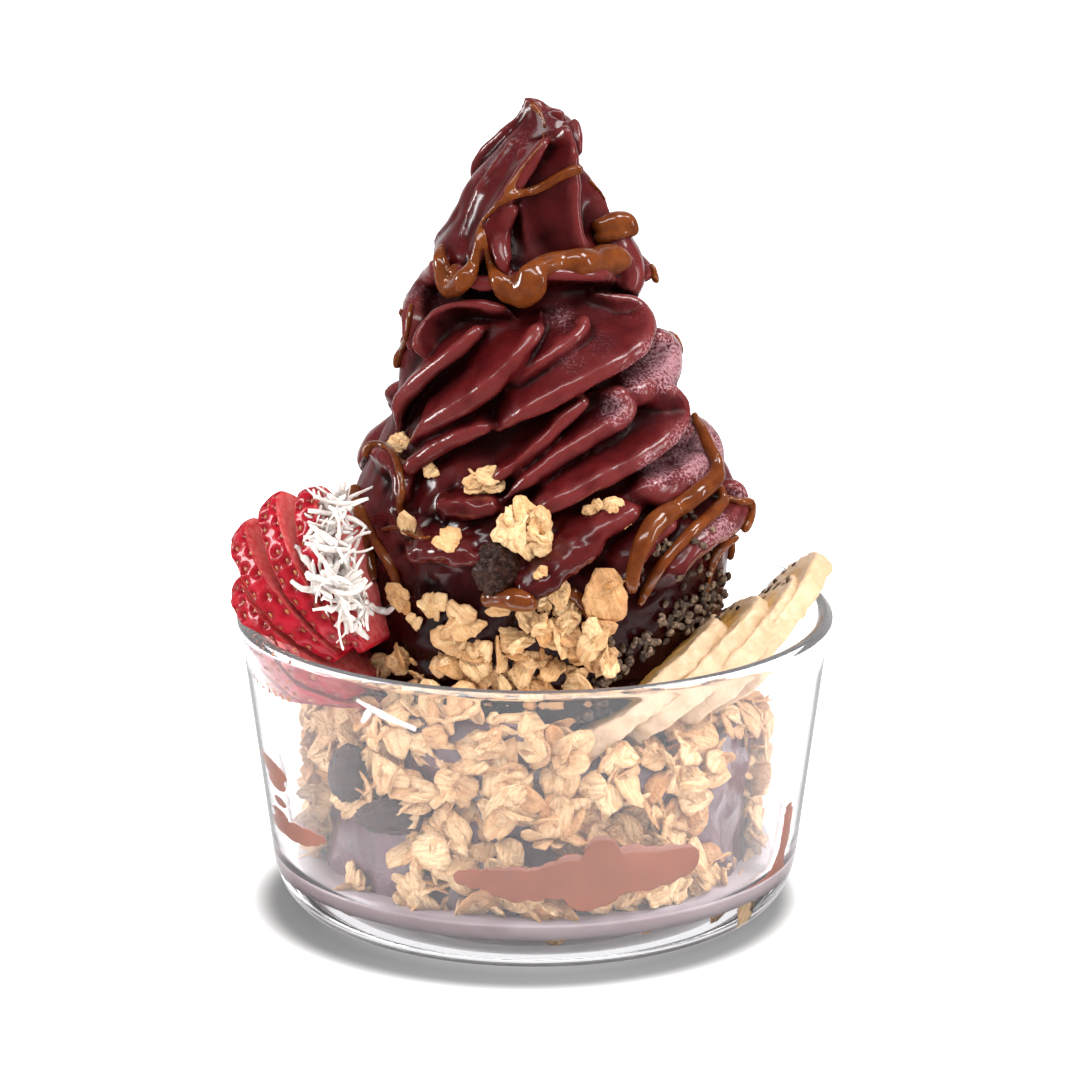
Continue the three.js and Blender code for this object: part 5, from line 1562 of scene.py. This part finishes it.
for _ in range(tuft_shreds):
    t = draw.uniform(0.06, 1) ** 0.9
    spine = tuft_line[int(t * (len(tuft_line) - 1))]
    a = draw.uniform(-math.pi, 0.2)
    out = np.array([math.cos(a), math.sin(a), draw.uniform(-0.3, 0.5)])
    out /= np.linalg.norm(out)
    r = float(eased(tuft_radius, t)) * draw.uniform(0.35, 1.0)
    at = spine + r * out * [1.05, 0.85, 0.6]
    way = np.cross(out, draw.normal(size=3))
    way /= np.linalg.norm(way)
    bend_in, bend_side = draw.uniform(0.0, 0.20), draw.uniform(-0.20, 0.20)
    steps = int(draw.integers(7, 19))
    line = [at - way * steps * 0.4]
    for _ in range(steps):
        side = np.cross(out, way)
        way = way - out * bend_in * 0.5 + side * bend_side
        way += 0.05 * draw.normal(size=3)
        way /= np.linalg.norm(way)
        line.append(line[-1] + shred_step * way)
    shred(line, out, draw.uniform(0.8, 1.6))

fruit_tree = surface(*together([*berry_shells, *banana_shells]))
# Shreds on the slices, by their places in the view.
slipped = [
    [(291, 547), (300, 552), (309, 561), (316, 572)],
    [(292, 579), (303, 588), (317, 588), (334, 577)],
    [(337, 603), (347, 618), (357, 630), (367, 641)],
    [(330, 583), (318, 578), (308, 570)],
    [(345, 566), (338, 578), (341, 590)],
    [(360, 600), (372, 610), (386, 612), (397, 606)],
]
for places in slipped:
    line = []
    for u, v in through(places, 4):
        found = seen(u, v, fruit_tree) or seen(u, v, swirl_tree)
        if found:
            line.append(found[0] + 0.7 * found[1])
    if len(line) > 3:
        shred(eased_over(np.array(line), 1), np.array([0, -0.9, 0.4]), 1.5)
# Shreds that hang on the inner wall.
for ends in ([(-36, -45.5, 58), (-30, -50, 55.5), (-24, -52.5, 53.5)], [(-33, -48, 57), (-35, -46, 53)]):
    shred(inside_glass(through(ends, 1.0), 0.8), np.array([-0.5, -0.85, 0]), 1.6)
shreds.laid("coconut_shreds", coconut_flesh, "coconut", ["coconut"])

# ---------------------------------------------------------------------------------------------
# Chia seeds: strewn thickly along the banana and thinly over the drizzle beside it. Small ovals,
# mottled grey and brown, that lie where they fell.
# ---------------------------------------------------------------------------------------------
chia_skin, tree, shader = finish(
    "chia_skin", Roughness=0.4, Specular_IOR_Level=0.18, Coat_Weight=0.08, Coat_Roughness=0.15
)
shade = mixed(tree, marked(tree, "tone"), (0.020, 0.010, 0.0060, 1), (0.26, 0.165, 0.105, 1))
veins = between(tree, placed(tree, mottle, Size=0.7)["Mask"], 0.35, 0.75)
colour = mixed(tree, veins, mixed(tree, 0.7, shade, (0.020, 0.013, 0.010, 1)), shade)
tree.links.new(colour, shader.inputs["Base Color"])

draw = np.random.default_rng(47)
seed_half = np.array([1.05, 0.72, 0.58])
seed_ball, seed_faces = globe(9, 11)
# Bands of seeds: the places in the view that their middles pass with their half width there, and
# how many seeds each takes.
seed_bands = [
    ([(598, 684, 6), (612, 670, 9), (630, 654, 11), (650, 638, 11), (672, 622, 11), (692, 608, 13)], 105),
    ([(692, 608, 13), (712, 595, 15), (735, 579, 17), (758, 568, 17), (780, 562, 12)], 100),
    ([(776, 570, 8), (787, 558, 8), (797, 545, 6), (810, 534, 4)], 64),
    ([(768, 590, 4), (780, 580, 6), (794, 572, 5)], 14),
    ([(575, 716, 5), (590, 704, 8), (606, 694, 7)], 22),
]
# Seeds that lie by themselves, by their places in the view.
lone_seeds = [
    (683, 517), (693, 518), (648, 536), (664, 540), (655, 553), (664, 549), (673, 546), (679, 543),
    (695, 542), (712, 530), (706, 556), (721, 547), (699, 568), (691, 573), (679, 577), (682, 586),
    (640, 569), (635, 583), (709, 594), (718, 573), (722, 583), (664, 604), (661, 616), (670, 617),
    (681, 615), (740, 566), (746, 568), (752, 560), (610, 640), (606, 652), (700, 600), (668, 545),
    (657, 547), (688, 512), (703, 546), (611, 641), (690, 628), (676, 605), (700, 588), (730, 560),
]  # fmt: skip
landing = surface(*together([*berry_shells, *banana_shells, (swirl_points, swirl_faces.tolist())]))
places = [(u, v, 0) for u, v in lone_seeds]
for knots, count in seed_bands:
    line = through(knots, view_step)
    for _ in range(count):
        u, v, half = line[draw.integers(len(line))]
        u += half * draw.normal(0, 0.55)
        v += half * draw.normal(0, 0.62)
        places.append((u, v, draw.uniform(0, 0.8)))
landed = [(seen(u, v, landing), height) for u, v, height in places]
# More of them were dropped on the cut faces of the banana from so high above them, thickest along
# the side next to the swirl.
strewn, drop_from, drop_reach = 170, 40, 60
banana_tree = surface(*together(banana_shells))
slices_middle = np.mean([points.mean(0) for points, _ in banana_shells], 0)
for _ in range(strewn):
    along = draw.uniform(-27, 24)
    inward = 15.5 - abs(draw.normal(0, 6.5))
    start = slices_middle + along * banana["lengthwise"] + [-0.8 * inward, 0.5 * inward, 0]
    start = start + drop_from * banana["up"]
    place, normal, _, _ = banana_tree.ray_cast(Vector(start), Vector(-banana["up"]), drop_reach)
    if place is not None:
        landed.append(((np.array(place), np.array(normal)), draw.uniform(0, 0.5)))
# One that falls where another already lies comes to rest on it.
crowded, on_another, in_skin = 1.25, 0.4, 0.3
seeds, resting = Heap(), []
for found, height in landed:
    if found is None:
        continue
    at, normal = found
    if any(np.linalg.norm(at - other) < crowded for other in resting):
        at = at + (on_another + height) * normal
    resting.append(at)
    lean = normal + 0.35 * draw.normal(size=3)
    ball = seed_ball * seed_half * draw.uniform(0.88, 1.1, 3)
    ball[:, 1:] *= (1 - 0.18 * ball[:, 0] / seed_half[0])[:, None]
    turn = facing(lean, draw.uniform(0, 2 * math.pi))
    seeds.add(ball @ turn.T + at + in_skin * normal, seed_faces, tone=draw.uniform(0, 1))
seeds.laid("chia_seeds", chia_skin)

# ---------------------------------------------------------------------------------------------
# Smears of spread on the inside of the glass, each pressed flat out of dabs that run together, and
# the thin milky pool of melted acai on the bowl's floor, whose pale lilac is partly painted
# reflection for the sheen over the glass base.
# ---------------------------------------------------------------------------------------------
smeared, tree, shader = finish("smeared_spread", Roughness=0.35, Coat_Weight=0.2)
brown = placed(tree, mottle, Dark=(0.185, 0.051, 0.024, 1), Light=(0.25, 0.072, 0.035, 1), Size=14.0)
tree.links.new(brown["Color"], shader.inputs["Base Color"])

bending = 1.38
short_of_bowl = 880


def on_wall(u, v):
    """Point of the inner wall's front at a place in the view, as the glass bends the sight line:
    followed in fine steps to the outer face and then through the wall to the inner one."""
    way = sight(u, v)
    at = eye + short_of_bowl * way
    for length, thick in ((180, wall), (14, 0.0)):
        steps = at + np.arange(0, length, 0.05)[:, None] * way
        room = wall_radius(steps[:, 2]) + thick - np.hypot(steps[:, 0], steps[:, 1])
        at = steps[np.argmax(room > 0) if room.max() > 0 else np.argmax(room)]
        out = np.array([at[0], at[1], 0]) / math.hypot(at[0], at[1])
        slant = -way @ out
        way = way / bending + (slant / bending - math.sqrt(1 - (1 - slant**2) / bending**2)) * out
    return at


# Places in the view and radii of the round dabs that each smear is made of.
dabs = [
    (461, 877, 8), (473, 878, 11), (488, 879, 12), (500, 882, 16), (516, 884, 19), (536, 884, 18),
    (555, 880, 20), (572, 876, 23), (586, 886, 26), (602, 854, 19), (614, 872, 26), (632, 868, 25),
    (650, 868, 23), (668, 864, 21), (683, 860, 17), (600, 880, 28),
    (282, 824, 8), (290, 829, 10), (300, 833, 11), (311, 836, 9), (321, 838, 5),
    (268, 760, 7), (273, 768, 9), (276, 781, 7), (280, 800, 5), (280, 812, 6),
    (764, 881, 8), (770, 876, 8), (775, 868, 6), (778, 860, 5), (780, 853, 4), (782, 847, 4), (784, 840, 4),
    (785, 834, 4), (786, 828, 4), (787, 822, 4), (788, 816, 4), (789, 810, 4), (789, 804, 3),
]  # fmt: skip
dab_depth = 0.8
# Units of the view to a millimetre of a dab's least width and of its height.
units_across, units_up = 4.8, 4.4
smear_grid = 0.38
# The smears and the pool reach this far into the glass, so that no air shows behind them.
smear_into_glass, pool_into_glass = 0.08, 0.15
dab_ball, dab_faces = globe(14, 22)
dab_shells = []
for u, v, r in dabs:
    at = on_wall(u, v)
    out = np.array([at[0], at[1], 0]) / math.hypot(at[0], at[1])
    across = np.array([-out[1], out[0], 0])
    half = max(np.linalg.norm(on_wall(u + r, v) - on_wall(u - r, v)) / 2, r / units_across)
    disc = dab_ball * np.array([half, dab_depth, r / units_up])
    dab_shells.append((at + disc[:, :1] * across + disc[:, 1:2] * out + disc[:, 2:] * [0, 0, 1], dab_faces))
smear_points, smear_faces = worked(
    *together(dab_shells),
    ("REMESH", {"mode": "VOXEL", "voxel_size": smear_grid}),
    ("SMOOTH", {"factor": 0.5, "iterations": 3}),
)
lay("spread_smears", inside_glass(smear_points, -smear_into_glass), smear_faces, smeared)

pooled, tree, shader = finish("melted_pool", Roughness=0.35, Coat_Weight=0.2)
# Painted reflection in part: the pale lilac stands for the sheen that covers the glass base.
milky_and_reflected = placed(tree, mottle, Dark=(0.30, 0.225, 0.235, 1), Light=(0.40, 0.325, 0.335, 1), Size=16.0)
tree.links.new(milky_and_reflected["Color"], shader.inputs["Base Color"])
pool_top = 11.0
pool_under = base_top - pool_into_glass
pool_middle = 30
pool_sides = 96
angle = 2 * math.pi * np.arange(pool_sides) / pool_sides
# Radius and height, from the middle of its underside out and up the wall, then in over its top.
pool_side = [[pool_middle, pool_under], [floor_radius, pool_under]]
for r, z in inner_wall:
    if base_top + 0.2 < z < pool_top:
        pool_side.append([r + pool_into_glass, z - pool_into_glass / 2])
pool_side += [[float(wall_radius(pool_top)) + pool_into_glass, pool_top]]
pool_side += [[floor_radius, pool_top - 0.6], [pool_middle, pool_top - 1.4]]
pool_rings = [
    np.column_stack([r * np.cos(angle), r * np.sin(angle), np.full(pool_sides, z)]) for r, z in pool_side
]
lay("melted_pool", *loft(pool_rings), pooled, "acai")

# ---------------------------------------------------------------------------------------------
# The stage, in metres: a pale floor, soft panel lights on both sides, above and in front, and the
# camera a little above the rim.
# ---------------------------------------------------------------------------------------------
floor_paint, tree, shader = finish(
    "pale_floor",
    Base_Color=(0.93, 0.93, 0.93, 1),
    Roughness=0.9,
    Specular_IOR_Level=0.0,
    Emission_Strength=0.62,
)
speck = placed(tree, mottle, Dark=(0.92, 0.92, 0.92, 1), Light=(0.94, 0.94, 0.94, 1), Size=40.0)
# A painted shadow round the foot darkens the floor's colour and glow: more on the left.
shade_middle, shade_inner, shade_outer = (-0.0016, -0.0050, 0.0), 0.0540, 0.0655
under_inner, under_outer = 0.040, 0.051
spot = node(tree, "ShaderNodeTexCoord").outputs["Object"]
apart = node(tree, "ShaderNodeVectorMath", {0: spot, 1: shade_middle}, operation="DISTANCE")
apart = apart.outputs["Value"]
painted_shadow = between(tree, apart, shade_outer, shade_inner, 0.0, 0.96)
# Under the clear base the painted shadow is a little lighter again.
painted_shadow = sums(tree, painted_shadow, between(tree, apart, under_inner, under_outer, 0.80, 1.0), "MULTIPLY")
ground = mixed(tree, painted_shadow, speck["Color"], (0.12, 0.12, 0.12, 1))
tree.links.new(ground, shader.inputs["Base Color"])
tree.links.new(ground, shader.inputs["Emission Color"])
floor_half = 6.0
floor_corners = [(x * floor_half, y * floor_half, 0) for x, y in ((-1, -1), (1, -1), (1, 1), (-1, 1))]
floor_mesh = bpy.data.meshes.new("floor")
floor_mesh.from_pydata(floor_corners, [], [(0, 1, 2, 3)])
floor_mesh.materials.append(floor_paint)
floor = bpy.data.objects.new("floor", floor_mesh)
bpy.context.scene.collection.objects.link(floor)
floor.visible_glossy = False

world = bpy.data.worlds.new("studio")
bpy.context.scene.world = world
world.use_nodes = True
tree = world.node_tree
# What shines mirrors a white wall behind the bowl and a dim room in front of it; what is seen
# through glass is white; what is lit gets an even fill.
room_path = node(tree, "ShaderNodeLightPath")
way = node(tree, "ShaderNodeSeparateXYZ", {0: node(tree, "ShaderNodeTexCoord").outputs["Generated"]})
dim_room, white_wall, fill = 0.10, 0.88, 0.25
mirrored = between(tree, way.outputs["Y"], 0.62, 0.97, dim_room, white_wall)
mirrored = sums(tree, mirrored, room_path.outputs["Is Transmission Ray"], "MAXIMUM")
unlit = sums(tree, 1.0, room_path.outputs["Is Diffuse Ray"], "SUBTRACT")
shine = sums(tree, unlit, mirrored, "MULTIPLY")
plain = sums(tree, room_path.outputs["Is Diffuse Ray"], fill, "MULTIPLY")
tree.links.new(sums(tree, shine, plain), tree.nodes["Background"].inputs["Strength"])
tree.nodes["Background"].inputs["Color"].default_value = (1, 1, 1, 1)


lit_middle = Vector((0, 0, 0.09))


def panel(name, place, size, power, mirrored=True):
    """A soft panel light at place, turned to the middle of the bowl's contents."""
    lamp = bpy.data.lights.new(name, "AREA")
    lamp.shape = "RECTANGLE"
    lamp.size, lamp.size_y = size
    lamp.energy = power
    light = bpy.data.objects.new(name, lamp)
    light.location = place
    light.rotation_mode = "QUATERNION"
    light.rotation_quaternion = (lit_middle - Vector(place)).to_track_quat("-Z", "Y")
    light.visible_glossy = mirrored
    bpy.context.scene.collection.objects.link(light)


panel("left_panel", (-0.88, -0.02, 0.30), (0.20, 0.34), 6.0)
panel("right_panel", (0.84, -0.10, 0.22), (0.08, 0.42), 1.2)
panel("top_panel", (0.50, -0.06, 0.80), (0.30, 0.30), 4.5)
panel("front_strip", (-0.12, -0.42, 0.95), (1.1, 0.20), 6.4)
panel("front_fill", (-0.35, -0.95, 0.75), (0.7, 0.7), 2.2, mirrored=False)
panel("right_fill", (0.8, -0.5, 0.6), (0.5, 0.5), 6.0, mirrored=False)

# The soft light from above that keeps the whole floor white.
sky = bpy.data.lights.new("overhead", "SUN")
sky.energy = 1.8
sky.angle = math.radians(60)
overhead = bpy.data.objects.new("overhead", sky)
overhead.visible_glossy = False
overhead.rotation_euler = (math.radians(-14), math.radians(8), 0)
bpy.context.scene.collection.objects.link(overhead)

lens = bpy.data.cameras.new("camera")
lens.sensor_width = sensor_width
lens.lens = lens_length
camera = bpy.data.objects.new("camera", lens)
camera_aim = Vector(aim * MM)
camera.location = camera_aim + distance * MM * Vector((0, -math.cos(drop), math.sin(drop)))
camera.rotation_mode = "QUATERNION"
camera.rotation_quaternion = (camera_aim - camera.location).to_track_quat("-Z", "Y")
bpy.context.scene.collection.objects.link(camera)
bpy.context.scene.camera = camera
bpy.context.scene.view_settings.view_transform = "Standard"
